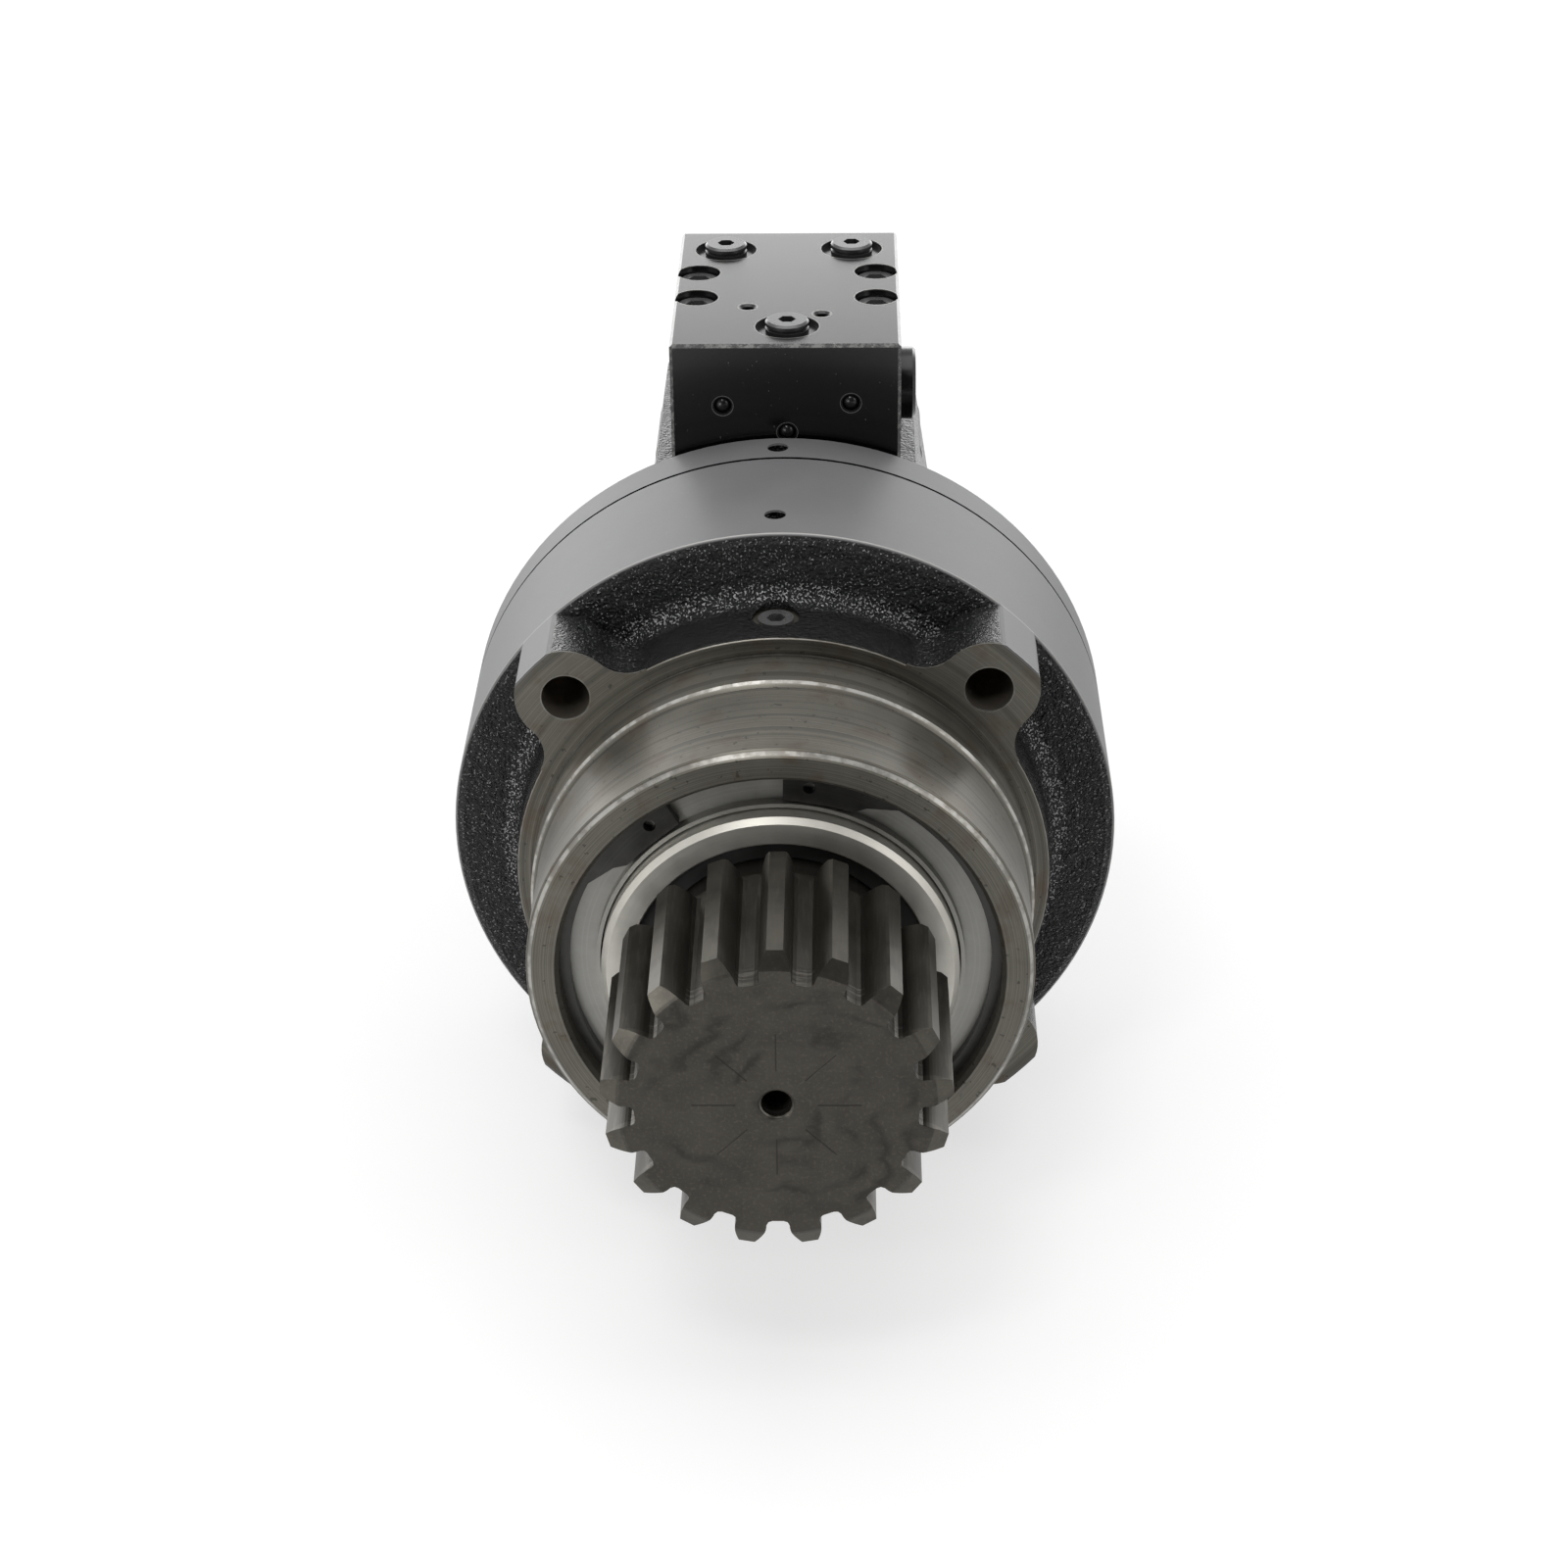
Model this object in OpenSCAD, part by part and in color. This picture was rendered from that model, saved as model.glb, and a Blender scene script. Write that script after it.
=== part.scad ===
// Hydraulic swing drive. An axial piston motor turns two planetary stages, and those turn a pinion.
// The drive lies on its round case. The drive axis is Y, the pinion points to -Y, the motor to +Y.
// The origin is the centre of the machined mounting face, and every length is in millimetres.

/* [Gear case] */
// Outer diameter of the machined rims
case_d = 250; // [249:0.5:252]
// Where the machined rim starts, behind the mounting face
rim_front = 32.4; // [31:0.2:33]
// Where the gear case ends and the motor casing starts
split_y = 99.6; // [99:0.2:100]
// Outer diameter of the machined mounting pad
pad_d = 198; // [196:1:200]
// Diameter of the pilot that centres the drive
pilot_d = 184.4; // [183:0.2:186]
// Length of the pilot
pilot_length = 20.7; // [18:0.1:24]
// Outer diameter of the nose in front of the pilot
nose_d = 180.4; // [179:0.2:182]
// Length of the nose in front of the mounting face
nose_length = 68.8; // [68:0.2:70]
// Bore of the nose, which is also the outer diameter of the front bearing
nose_bore_d = 157; // [157:0.5:159]

/* [Mounting ears] */
// Number of ears around the pad
ear_count = 4; // [4:1:5]
// Circle that the ear holes lie on
ear_circle_d = 216; // [214:1:218]
// Diameter of an ear hole, the core of an M20 thread
ear_hole_d = 17.5; // [14:0.5:18]
// Depth of an ear hole
ear_hole_depth = 34; // [28:1:34]
// Outer diameter of an ear about its hole
ear_d = 37.2; // [36:0.2:38]
// Turn of the gear case on the motor casing, which shifts its ears and plugs against the valve block
case_turn = 1.1; // [0:0.1:2]

/* [Output pinion] */
// Teeth of the output pinion
pinion_teeth = 17; // [17:1:18]
// Module of the output pinion, 4 diametral pitch
pinion_module = 6.35; // [6.2:0.05:6.4]
// Distance from the mounting face to the pinion's end
pinion_reach = 148.8; // [146:0.2:152]
// Face width of the pinion
pinion_face = 68; // [66:1:70]
// Height of the conical chamfer on the teeth's front ends
pinion_chamfer = 6.5; // [3:0.5:7]

/* [Planetary stages] */
// Module of both stages
stage_module = 3; // [3:1:3]
// Teeth of each sun
sun_teeth = 15; // [15:3:15]
// Teeth of each planet
planet_teeth = 24; // [24:3:24]
// Teeth of the ring gear that both stages share
ring_teeth = 63; // [63:3:63]
// Play at the pitch circle, taken off each tooth
gear_play = 0.2; // [0.15:0.01:0.3]

/* [Hydraulic motor] */
// Outer diameter of the motor's body
motor_d = 160; // [158:1:162]
// Tilt of the swash plate in degrees
swash_tilt = 12; // [10:0.5:12]
// Number of pistons
piston_count = 7; // [5:1:7]
// Piston diameter
piston_d = 16; // [14:0.5:16]
// Circle of the piston bores in the cylinder block
bore_circle_d = 68; // [67:0.5:69]

/* [Valve block] */
// Width of the valve block across the drive axis
block_width = 88.4; // [86:0.2:90]
// Length of the valve block along the drive axis
block_length = 124.7; // [122:0.1:126]
// Height of the valve block's top face above the drive axis
block_top = 161.9; // [160:0.1:163]
// Height of the valve block's seat above the drive axis
block_seat = 105; // [104:0.5:106]

/* [Hidden] */
$fn = 72;
eps = 0.01;
pressure_angle = 20;
top = 90;

case_r = case_d / 2;
pad_r = pad_d / 2;
pilot_r = pilot_d / 2;
nose_r = nose_d / 2;
nose_bore_r = nose_bore_d / 2;

// Gear case: the cast wall, the bearing seats and the gear chamber
wall_y = 28;
neck_fillet = 8;
edge = 0.8;
shoulder_front = -2;
shoulder_back = 6;
shoulder_r = 66;
rear_cup_r = 68;
rear_cup_end = 32;
chamber_r = 100;
ring_seat_r = 106;
ring_seat_y = 50;
ring_end_y = 106;
circlip_front = -61;
circlip_back = -57;
groove_r = 82;
face_groove_r = 93.6;
face_groove_depth = 0.8;
rim_hole_angle = top + case_turn;
rim_hole_y = [48.2, 109.6];
rim_hole_r = 4;
rim_hole_depth = 12;
plug_y = 17;
plug_face_r = 97;
plug_spot_r = 8.6;
plug_r = 6.5;
plug_depth = 12;
ear_fillet = 14;

// Shaft and its bearings
collar_r = 63.5;
collar_recess_r = 53.4;
collar_recess = 8.8;
collar_bevel = 2;
front_seat_r = 45;
front_bearing_y = -36;
rear_seat_r = 42;
nut_thread_r = 40;
nut_end_y = 41;
shaft_end_y = 53.5;
seal_front = -53;
plate_hub_r = 65.6;
plate_hub_front = -61.5;
running_gap = 0.1;
chamfer_depth = 2.8;
root_fillet = 1.9;
roller_gap = 0.15;
// Each bearing: front face, back face, bore radius, outer radius, roller circle radius, roller radius,
// roller length, tilt in degrees, number of rollers
front_bearing = [front_bearing_y, shoulder_front, front_seat_r, nose_bore_r, 62.5, 6.6, 24, 12, 22];
rear_bearing = [shoulder_back, rear_cup_end, rear_seat_r, rear_cup_r, 55, 5, 17, -12, 26];
roller_taper = 0.4;

// Planetary stages
sun_r = stage_module * sun_teeth / 2;
planet_r = stage_module * planet_teeth / 2;
ring_r = stage_module * ring_teeth / 2;
planet_circle_r = sun_r + planet_r;
planet_count = 3;
root_depth = 1.25 * stage_module;
tooth_fillet = 0.9;
planet_gap_turn = 180 / planet_teeth;
ring_gap_turn = 180 / ring_teeth;
carrier_r = 84;
carrier2_front = 44;
carrier2_back = 54;
stage2_front = 55;
stage2_back = 77;
carrier1_front = 80.5;
carrier1_back = 87.5;
stage1_front = 88.5;
stage1_back = 104;
pin_r = 11;
pin_gap = 0.05;
pin_head_r = 15;
pin2_end = 79.4;
pin1_end = 105.5;
shaft_spline = [20, 3.6, 37.5, 33.5];
sun_spline = [16, 2, 17, 15];
motor_spline = [14, 1.4, 11, 9.5];
block_spline = [16, 1.7, 15, 13.4];

// Motor casing and its cover
flange_back = 119.2;
motor_r = motor_d / 2;
motor_back = 232;
cover_back = 262;
motor_floor = 131;
swash_room_r = 66;
brake_ledge_y = 184;
brake_room_r = 72;
ball_race_r = 26;
ball_bore_r = 12.5;
ball_width = 15;
ball_r = 4;
ball_circle_r = 19.25;
front_ball_y = motor_floor - ball_width;
rear_ball_y = 229;
lip_seat_r = 20;
lip_front = 107.5;
lip_back = 115;
shaft_body_r = 15;
tower_top_w = 51;
tower_foot_w = 60;
tower_foot_z = 45;
tower_front = 124;
tower_corner = 10;
flange_bolt_circle = 115;
flange_bolt_angles = [for (i = [0:11]) if (i != 3) 30 * i];
// Places of the cover bolts as X and Z: two in the tower and four in bosses around the body
cover_bolt_places = [[42, 80], [-42, 80], [85, -14], [-85, -14], [50, -71], [-50, -71]];
cover_boss_r = 13;
cover_head_y = 246;
seal_ring_r = 1.5;
flange_head_y = 108.6;
// M10 cap screws: thread radius, head radius, head height, socket radius, then the holes for thread and head
screw = [5, 8, 10, 4.6];
screw_hole_r = 5.3;
head_hole_r = 8.45;

// Rotating group
pivot_y = 156;
shoe_height = 10;
ball_joint_r = 6;
bore_circle_r = bore_circle_d / 2;
ball_circle_tilted_r = 2 * bore_circle_r / (1 + cos(swash_tilt));
piston_r = piston_d / 2;
// The pistons turn at one steady speed, so their bores leave room for the small sideways swing
swing = bore_circle_r * (1 - cos(swash_tilt)) / 2;
piston_bore_r = piston_r + swing + 0.08;
piston_neck_r = 3.6;
piston_shoulder = 10;
piston_length = 50;
shoe_r = 9.5;
shoe_neck_r = 8.2;
shoe_base = 3;
retainer_r = 44;
retainer_thickness = 2.8;
guide_r = 20;
swash_r = 60;
barrel_front = 176;
barrel_back = 222;
barrel_floor = 215;
barrel_r = 50;
kidney_r = 4.5;
valve_plate_back = 226;

// Brake
disc_start = 184.1;
disc_count = 3;
steel_thickness = 2;
lining_thickness = 2.4;
disc_pitch = steel_thickness + lining_thickness + 2 * running_gap;
brake_front = disc_start + disc_count * disc_pitch + steel_thickness + running_gap;
brake_back = 218;
spring_count = 6;
spring_seat_y = 209;
spring_circle_r = 64;
spring_coil_r = 4.4;
spring_wire_r = 0.9;
spring_turns = 4;

// Valve block
block_front = 121.7;
block_back = block_front + block_length;
block_x = 0.5;
block_left = block_x - block_width / 2;
block_right = block_x + block_width / 2;
block_edge = 1.2;
block_bolts = [[-35, 172], [-35, 199.5], [35.6, 172], [35.6, 200.5]];
head_seat_z = block_top - 12.8;
ports = [[26, 227], [-25, 226], [1, 141]];
port_spot_r = 12.3;
port_spot_depth = 2.1;
port_plug_r = 8.4;
port_thread_r = 7;
port_depth = 16;
line_bore_r = 4.5;
small_holes = [[-14.6, 161.9], [14.3, 154.2]];
// Each plug closes the long drilling of the port above it
ball_plug_places = [[25.5, 138], [-23.7, 137], [1, 126]];
line_z = [for (p = ball_plug_places) p[1]];
line_end = [238, 238, 186];
line_r = 3;
ball_plug_r = 4;
plug_ball_r = 3.4;
side_cap_y = 152;
side_cap_z = 134;
side_cap_r = 14;
side_cap_out = 6;

cast_black = "#26262a";
machined_iron = "#4a4642";
paint_black = "#303033";
gear_steel = "#6b655e";
bright_steel = "#c9c9c6";
grey_steel = "#8f8f8c";
dark_steel = "#3a3a3c";
rubber_black = "#161616";
bronze = "#a07c45";

// Points of an arc about a centre
function arc(x, y, r, from, to, steps) =
    [for (i = [0:steps]) let (a = from + (to - from) * i / steps) [x + r * cos(a), y + r * sin(a)]];

// Radius at a place along Y of the straight line through two profile points
function radius_at(y, p, q) = p[0] + (q[0] - p[0]) * (y - p[1]) / (q[1] - p[1]);

// Solid turned about the drive axis, from points given as radius and place along Y
module turned(points) {
    rotate([-90, 0, 0]) rotate_extrude() polygon(points);
}

// Round bar along Y
module bar(r, from, to) {
    translate([0, from, 0]) rotate([-90, 0, 0]) cylinder(r = r, h = to - from);
}

// Plain ring along Y
module ring(outer, inner, from, to) {
    difference() {
        bar(outer, from, to);
        bar(inner, from - 1, to + 1);
    }
}

// Flat outline, drawn across the drive axis, made solid along Y
module slab(from, to) {
    translate([0, from, 0]) rotate([-90, 0, 0]) linear_extrude(to - from) children();
}

// Turns its children about the drive axis, from +X towards +Z
module at_clock(angle) {
    rotate([0, -angle, 0]) children();
}

// Copies its children around the drive axis, the first at the top
module around(count, radius, start = top) {
    for (i = [0:count - 1]) at_clock(start + 360 * i / count) translate([radius, 0, 0]) children();
}

// Moves its children to the swash plate's tilted frame, where Y is square to the plate
module tilted() {
    translate([0, pivot_y, 0]) rotate([swash_tilt, 0, 0]) children();
}

// Involute gears
function involute(angle) = tan(angle) * 180 / PI - angle;

function base_radius(teeth, size) = size * teeth / 2 * cos(pressure_angle);

function half_tooth(r, teeth, size, play) =
    90 / teeth - play / (size * teeth) * 180 / PI
    + involute(pressure_angle) - involute(acos(base_radius(teeth, size) / r));

// One side of a tooth from root to tip, as radius and angle from the tooth's middle
function tooth_side(teeth, size, root, tip, play, fillet, steps) =
    let (start = max(root, base_radius(teeth, size) + eps),
         wide = half_tooth(start, teeth, size, play),
         turn = fillet / root * 180 / PI)
    concat(
        fillet > 0
            ? [[root, wide + turn], [root + 0.3 * fillet, wide + 0.3 * turn], [root + fillet, wide]]
            : [],
        [for (i = [0:steps]) let (r = start + (tip - start) * i / steps)
            [r, half_tooth(r, teeth, size, play)]]
    );

function reversed(list) = [for (i = [len(list) - 1:-1:0]) list[i]];

// Whole outline, with its first tooth on +X
function gear_outline(teeth, size, root, tip, play, fillet, steps) =
    let (side = tooth_side(teeth, size, root, tip, play, fillet, steps))
    [for (t = [0:teeth - 1], p = concat([for (q = side) [q[0], -q[1]]], reversed(side)))
        let (a = p[1] + 360 * t / teeth) [p[0] * cos(a), p[0] * sin(a)]];

module stage_gear(teeth, from, to) {
    pitch_r = stage_module * teeth / 2;
    slab(from, to) polygon(gear_outline(teeth, stage_module, pitch_r - root_depth,
        pitch_r + stage_module, gear_play, tooth_fillet, 3));
}

// Straight spline: count of teeth, tooth width, outer radius, root radius
module spline(kind, from, to) {
    slab(from, to) polygon([
        for (t = [0:kind[0] - 1], p = [[kind[3], -1], [kind[2], -1], [kind[2], 1], [kind[3], 1]])
            let (a = top + 360 * t / kind[0] + p[1] * asin(kind[1] / 2 / p[0])) [p[0] * cos(a), p[0] * sin(a)]
    ]);
}

// Socket head cap screw along -Y of its own frame, with the head's underside at the origin
module cap_screw(length) {
    head_r = screw[1];
    height = screw[2];
    difference() {
        union() {
            bar(screw[0], -length, 0);
            turned([[0, 0], [head_r, 0], [head_r, height - 0.6], [head_r - 0.6, height], [0, height]]);
        }
        translate([0, height / 2, 0]) rotate([-90, 0, 0]) cylinder(r = screw[3], h = height, $fn = 6);
    }
}

// Tapered roller bearings. A point on a roller's side line, out (+1) or in (-1), at a place along its axis.
function raceway(b, along, side) =
    let (r = b[5] - roller_taper / b[6] * 2 * along * sign(b[7]) + roller_gap, t = b[7])
    [b[4] - along * sin(t) + side * r * cos(t), (b[0] + b[1]) / 2 + along * cos(t) + side * r * sin(t)];

function raceway_radius(b, y, side) = radius_at(y, raceway(b, -5, side), raceway(b, 5, side));

module bearing_cup(b) {
    turned([
        [b[3], b[0]], [b[3], b[1]], [raceway_radius(b, b[1], 1), b[1]], [raceway_radius(b, b[0], 1), b[0]]
    ]);
}

module bearing_cone(b) {
    rib = 3.4;
    low = 0.6 * b[5];
    front = b[0] + rib;
    back = b[1] - rib;
    turned([
        [b[2], b[0]], [raceway_radius(b, front, -1) + low, b[0]], [raceway_radius(b, front, -1) + low, front],
        [raceway_radius(b, front, -1), front], [raceway_radius(b, back, -1), back],
        [raceway_radius(b, back, -1) + low, back], [raceway_radius(b, back, -1) + low, b[1]], [b[2], b[1]]
    ]);
}

module bearing_rollers(b) {
    wide_end = b[5] + roller_taper * sign(b[7]);
    narrow_end = b[5] - roller_taper * sign(b[7]);
    around(b[8], b[4]) translate([0, (b[0] + b[1]) / 2, 0]) rotate([0, 0, b[7]])
        translate([0, -b[6] / 2, 0]) rotate([-90, 0, 0]) cylinder(r1 = wide_end, r2 = narrow_end, h = b[6]);
}

// Gear case
module gear_case_outside() {
    turned(concat(
        [[0, -nose_length], [nose_r - 2.5, -nose_length], [nose_r, -nose_length + 2.5],
         [nose_r, -pilot_length - 1], [pilot_r - 1, -pilot_length], [pilot_r, -pilot_length + 1],
         [pilot_r, face_groove_depth], [face_groove_r, face_groove_depth], [face_groove_r, 0],
         [pad_r - edge, 0], [pad_r, edge]],
        arc(pad_r + neck_fillet, wall_y - neck_fillet, neck_fillet, 180, 90, 6),
        [[case_r - 3.5, wall_y + 1.8], [case_r - 1, wall_y + 3], [case_r, rim_front],
         [case_r, split_y - edge], [case_r - edge, split_y], [0, split_y]]
    ));
}

module gear_case_inside() {
    turned([
        [0, -nose_length - 1], [nose_bore_r + 1.5, -nose_length - 1], [nose_bore_r + 1.5, -nose_length],
        [nose_bore_r, -nose_length + 1.5], [nose_bore_r, circlip_front], [groove_r, circlip_front],
        [groove_r, circlip_back], [nose_bore_r, circlip_back], [nose_bore_r, shoulder_front],
        [shoulder_r - 5, shoulder_front], [shoulder_r - 5, shoulder_back], [rear_cup_r, shoulder_back],
        [rear_cup_r, rear_cup_end + 2], [72, rear_cup_end + 4], [94, rear_cup_end + 8],
        [chamber_r, ring_seat_y - 4], [chamber_r, ring_seat_y], [ring_seat_r, ring_seat_y],
        [ring_seat_r, split_y + 1], [0, split_y + 1]
    ]);
}

// One ear with the two concave fillets that lead it into the pad
module ear() {
    centre = ear_circle_d / 2;
    lobe = ear_d / 2;
    reach = pad_r + ear_fillet;
    turn = acos((centre * centre + reach * reach - pow(lobe + ear_fillet, 2)) / (2 * centre * reach));
    fillet_x = reach * cos(turn);
    fillet_z = reach * sin(turn);
    difference() {
        union() {
            translate([centre, 0, 0]) bar(lobe, 0, rim_front + 2);
            slab(0, rim_front + 2)
                polygon([[0, 0], [fillet_x, fillet_z], [centre, 0], [fillet_x, -fillet_z]]);
        }
        for (side = [-1, 1]) translate([fillet_x, 0, side * fillet_z]) bar(ear_fillet, -1, rim_front + 3);
    }
}

module gear_case() {
    color(machined_iron) difference() {
        union() {
            gear_case_outside();
            difference() {
                intersection() {
                    around(ear_count, 0, 45 + case_turn) ear();
                    bar(case_r, 0, rim_front + 2);
                }
                bar((face_groove_r + pad_r) / 2, -1, face_groove_depth + 1);
            }
        }
        gear_case_inside();
        around(ear_count, ear_circle_d / 2, 45 + case_turn) bar(ear_hole_d / 2, -1, ear_hole_depth);
        for (a = flange_bolt_angles) at_clock(a) translate([flange_bolt_circle, 0, 0])
            bar(screw[0], 78, split_y + 1);
        at_clock(rim_hole_angle) translate([case_r, rim_hole_y[0], 0]) rim_hole();
        at_clock(top + case_turn) translate([plug_face_r, plug_y, 0]) rotate([0, 90, 0]) {
            cylinder(r = plug_spot_r, h = 10);
            translate([0, 0, -plug_depth]) cylinder(r = plug_r, h = plug_depth + 1);
        }
    }
}

// Blind radial hole in a rim, pointing inwards along -X
module rim_hole() {
    translate([-rim_hole_depth, 0, 0]) rotate([0, 90, 0]) cylinder(r = rim_hole_r, h = rim_hole_depth + 2);
}

module ring_gear() {
    color(gear_steel) difference() {
        ring(ring_seat_r, ring_r - 2 * stage_module, ring_seat_y, ring_end_y);
        at_clock(top + ring_gap_turn) slab(ring_seat_y - 1, ring_end_y + 1)
            polygon(gear_outline(ring_teeth, stage_module, ring_r - stage_module, ring_r + root_depth,
                -gear_play, 0, 4));
    }
}

module front_bearing_cup() {
    color(grey_steel) bearing_cup(front_bearing);
}

module rear_bearing_cup() {
    color(grey_steel) bearing_cup(rear_bearing);
}

module front_bearing_cone() {
    color(bright_steel) bearing_cone(front_bearing);
}

module rear_bearing_cone() {
    color(bright_steel) bearing_cone(rear_bearing);
}

module front_bearing_rollers() {
    color(bright_steel) bearing_rollers(front_bearing);
}

module rear_bearing_rollers() {
    color(bright_steel) bearing_rollers(rear_bearing);
}

// Internal circlip with its two eyes either side of the opening
module bearing_circlip() {
    middle = 105;
    half_opening = 16.2;
    eye_angle = 23.5;
    eye_r = 72.3;
    eye_hole_r = 2.2;
    band_r = 75;
    lug_r = 66.3;
    // Outline of one lug, as radius and angle from the middle of the opening
    lug = [
        [lug_r + 1, half_opening - 2], [lug_r, 23], [lug_r + 0.2, 31], [lug_r + 0.6, 37.5],
        [lug_r + 4, 40.8], [band_r + 1, 50], [band_r + 4, 50], [band_r + 5, 40], [band_r + 5, 28],
        [band_r + 4, half_opening - 2]
    ];
    color(dark_steel) at_clock(middle) difference() {
        union() {
            ring(groove_r, band_r, circlip_front, circlip_back);
            slab(circlip_front, circlip_back) for (side = [-1, 1])
                polygon([for (p = lug) [p[0] * cos(p[1]), side * p[0] * sin(p[1])]]);
        }
        slab(circlip_front - 1, circlip_back + 1) polygon([
            [0, 0], [2 * groove_r * cos(half_opening), -2 * groove_r * sin(half_opening)],
            [2 * groove_r * cos(half_opening), 2 * groove_r * sin(half_opening)]
        ]);
        for (side = [-1, 1]) at_clock(side * eye_angle) translate([eye_r, 0, 0])
            bar(eye_hole_r, circlip_front - 1, circlip_back + 1);
    }
}

module seal_plate() {
    bore = collar_r + 0.6;
    color(bright_steel) turned([
        [bore, plate_hub_front], [plate_hub_r, plate_hub_front], [plate_hub_r, circlip_back],
        [nose_bore_r, circlip_back], [nose_bore_r, seal_front], [bore, seal_front]
    ]);
}

module shaft_seal() {
    lip = collar_r + running_gap;
    color(rubber_black) turned([
        [lip + 4, seal_front], [nose_bore_r, seal_front], [nose_bore_r, front_bearing_y],
        [nose_bore_r - 3, front_bearing_y], [nose_bore_r - 3, seal_front + 3], [lip + 4, seal_front + 3],
        [lip + 2.5, seal_front + 8], [lip, seal_front + 7], [lip + 1.5, seal_front + 5]
    ]);
}

module case_plug() {
    color(dark_steel) at_clock(top + case_turn) translate([plug_face_r, plug_y, 0]) rotate([0, 90, 0])
        difference() {
            translate([0, 0, -plug_depth + 1]) cylinder(r = plug_r, h = plug_depth + 0.5);
            translate([0, 0, -4]) cylinder(r = 3.5, h = 6, $fn = 6);
        }
}

// Motor casing. The tower is the foot that carries the valve block.
// One end is flat, where casing and cover meet, and the other has rounded corners.
module tower(flat_y, round_y) {
    inward = sign(flat_y - round_y);
    hull() {
        for (level = [[tower_top_w, block_seat - 1], [tower_foot_w, tower_foot_z]]) {
            translate([-level[0], inward > 0 ? flat_y - 1 : flat_y, level[1]]) cube([2 * level[0], 1, 1]);
            for (side = [-1, 1])
                translate([side * (level[0] - tower_corner), round_y + inward * tower_corner, level[1]])
                    cylinder(r = tower_corner, h = 1, $fn = 32);
        }
    }
}

module at_cover_bolts() {
    for (p = cover_bolt_places) translate([p[0], 0, p[1]]) children();
}

module motor_casing() {
    color(cast_black) difference() {
        union() {
            turned(concat(
                [[0, split_y], [case_r - edge, split_y], [case_r, split_y + edge],
                 [case_r, flange_back - edge], [case_r - edge, flange_back]],
                arc(motor_r + 8, flange_back + 8, 8, 270, 180, 6),
                [[motor_r, motor_back], [0, motor_back]]
            ));
            tower(motor_back, tower_front);
            at_cover_bolts() turned([
                [0, motor_back - 38], [cover_boss_r / 2, motor_back - 38], [cover_boss_r, motor_back - 28],
                [cover_boss_r, motor_back], [0, motor_back]
            ]);
        }
        turned([
            [0, split_y - 1], [ring_seat_r, split_y - 1], [ring_seat_r, ring_end_y],
            [shaft_body_r, ring_end_y], [shaft_body_r, lip_front], [lip_seat_r, lip_front],
            [lip_seat_r, front_ball_y], [ball_race_r, front_ball_y], [ball_race_r, motor_floor],
            [swash_room_r, motor_floor],
            [swash_room_r, brake_ledge_y], [brake_room_r, brake_ledge_y], [brake_room_r, motor_back + 1],
            [0, motor_back + 1]
        ]);
        ring(ring_seat_r + 2 * seal_ring_r, ring_seat_r - 1, split_y - 1, split_y + 2 * seal_ring_r);
        for (a = flange_bolt_angles) at_clock(a) translate([flange_bolt_circle, 0, 0]) {
            bar(screw_hole_r, split_y - 1, flange_back);
            bar(head_hole_r, flange_head_y, flange_back + 12);
        }
        at_cover_bolts() bar(screw[0], motor_back - 25, motor_back + 1);
        at_clock(rim_hole_angle) translate([case_r, rim_hole_y[1], 0]) rim_hole();
        for (p = block_bolts) translate([p[0], p[1], block_seat - 22]) cylinder(r = screw[0], h = 23);
        translate([ports[2][0], line_end[2], swash_room_r - 2]) cylinder(r = line_bore_r, h = block_seat);
    }
}

module housing_o_rings() {
    color(rubber_black) {
        rotate([-90, 0, 0]) translate([0, 0, split_y + seal_ring_r])
            rotate_extrude() translate([ring_seat_r + seal_ring_r, 0]) circle(r = seal_ring_r, $fn = 24);
        rotate([-90, 0, 0]) translate([0, 0, motor_back - 3])
            rotate_extrude() translate([brake_room_r - seal_ring_r, 0]) circle(r = seal_ring_r, $fn = 24);
    }
}

module flange_bolts() {
    color(dark_steel) for (a = flange_bolt_angles) at_clock(a)
        translate([flange_bolt_circle, flange_head_y, 0]) cap_screw(29);
}

module motor_shaft_seal() {
    lip = ball_bore_r + running_gap;
    color(rubber_black) turned([
        [lip + 3, lip_front], [lip_seat_r, lip_front], [lip_seat_r, lip_back], [lip_seat_r - 2, lip_back],
        [lip_seat_r - 2, lip_front + 2], [lip + 3, lip_front + 2], [lip + 2, lip_back - 1],
        [lip, lip_back - 2.5], [lip + 1, lip_back - 4]
    ]);
}

// The motor's two ball bearings are alike
module at_ball_bearings() {
    for (y = [front_ball_y, rear_ball_y]) translate([0, y, 0]) children();
}

module ball_race(outer, inner) {
    difference() {
        ring(outer, inner, 0, ball_width);
        translate([0, ball_width / 2, 0]) rotate([-90, 0, 0]) rotate_extrude() translate([ball_circle_r, 0])
            circle(r = ball_r + running_gap, $fn = 32);
    }
}

module motor_bearing_outer_races() {
    color(bright_steel) at_ball_bearings() ball_race(ball_race_r, ball_circle_r + 2);
}

module motor_bearing_inner_races() {
    color(bright_steel) at_ball_bearings() ball_race(ball_circle_r - 2, ball_bore_r);
}

module motor_bearing_balls() {
    color(bright_steel) at_ball_bearings() around(9, ball_circle_r) translate([0, ball_width / 2, 0])
        sphere(r = ball_r - 0.02, $fn = 32);
}

module swash_plate() {
    color(gear_steel) difference() {
        bar(swash_r, motor_floor, pivot_y + 20);
        bar(guide_r + 3, motor_floor - 1, pivot_y + 21);
        tilted() translate([-100, -shoe_height - running_gap / 2, -100]) cube([200, 100, 200]);
    }
}

// Brake discs: steel ones held by the casing, linings carried round by the cylinder block
module brake_steel_discs() {
    color(grey_steel) for (i = [0:disc_count]) translate([0, disc_start + i * disc_pitch, 0])
        ring(brake_room_r, barrel_r + 4, 0, steel_thickness);
}

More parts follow.
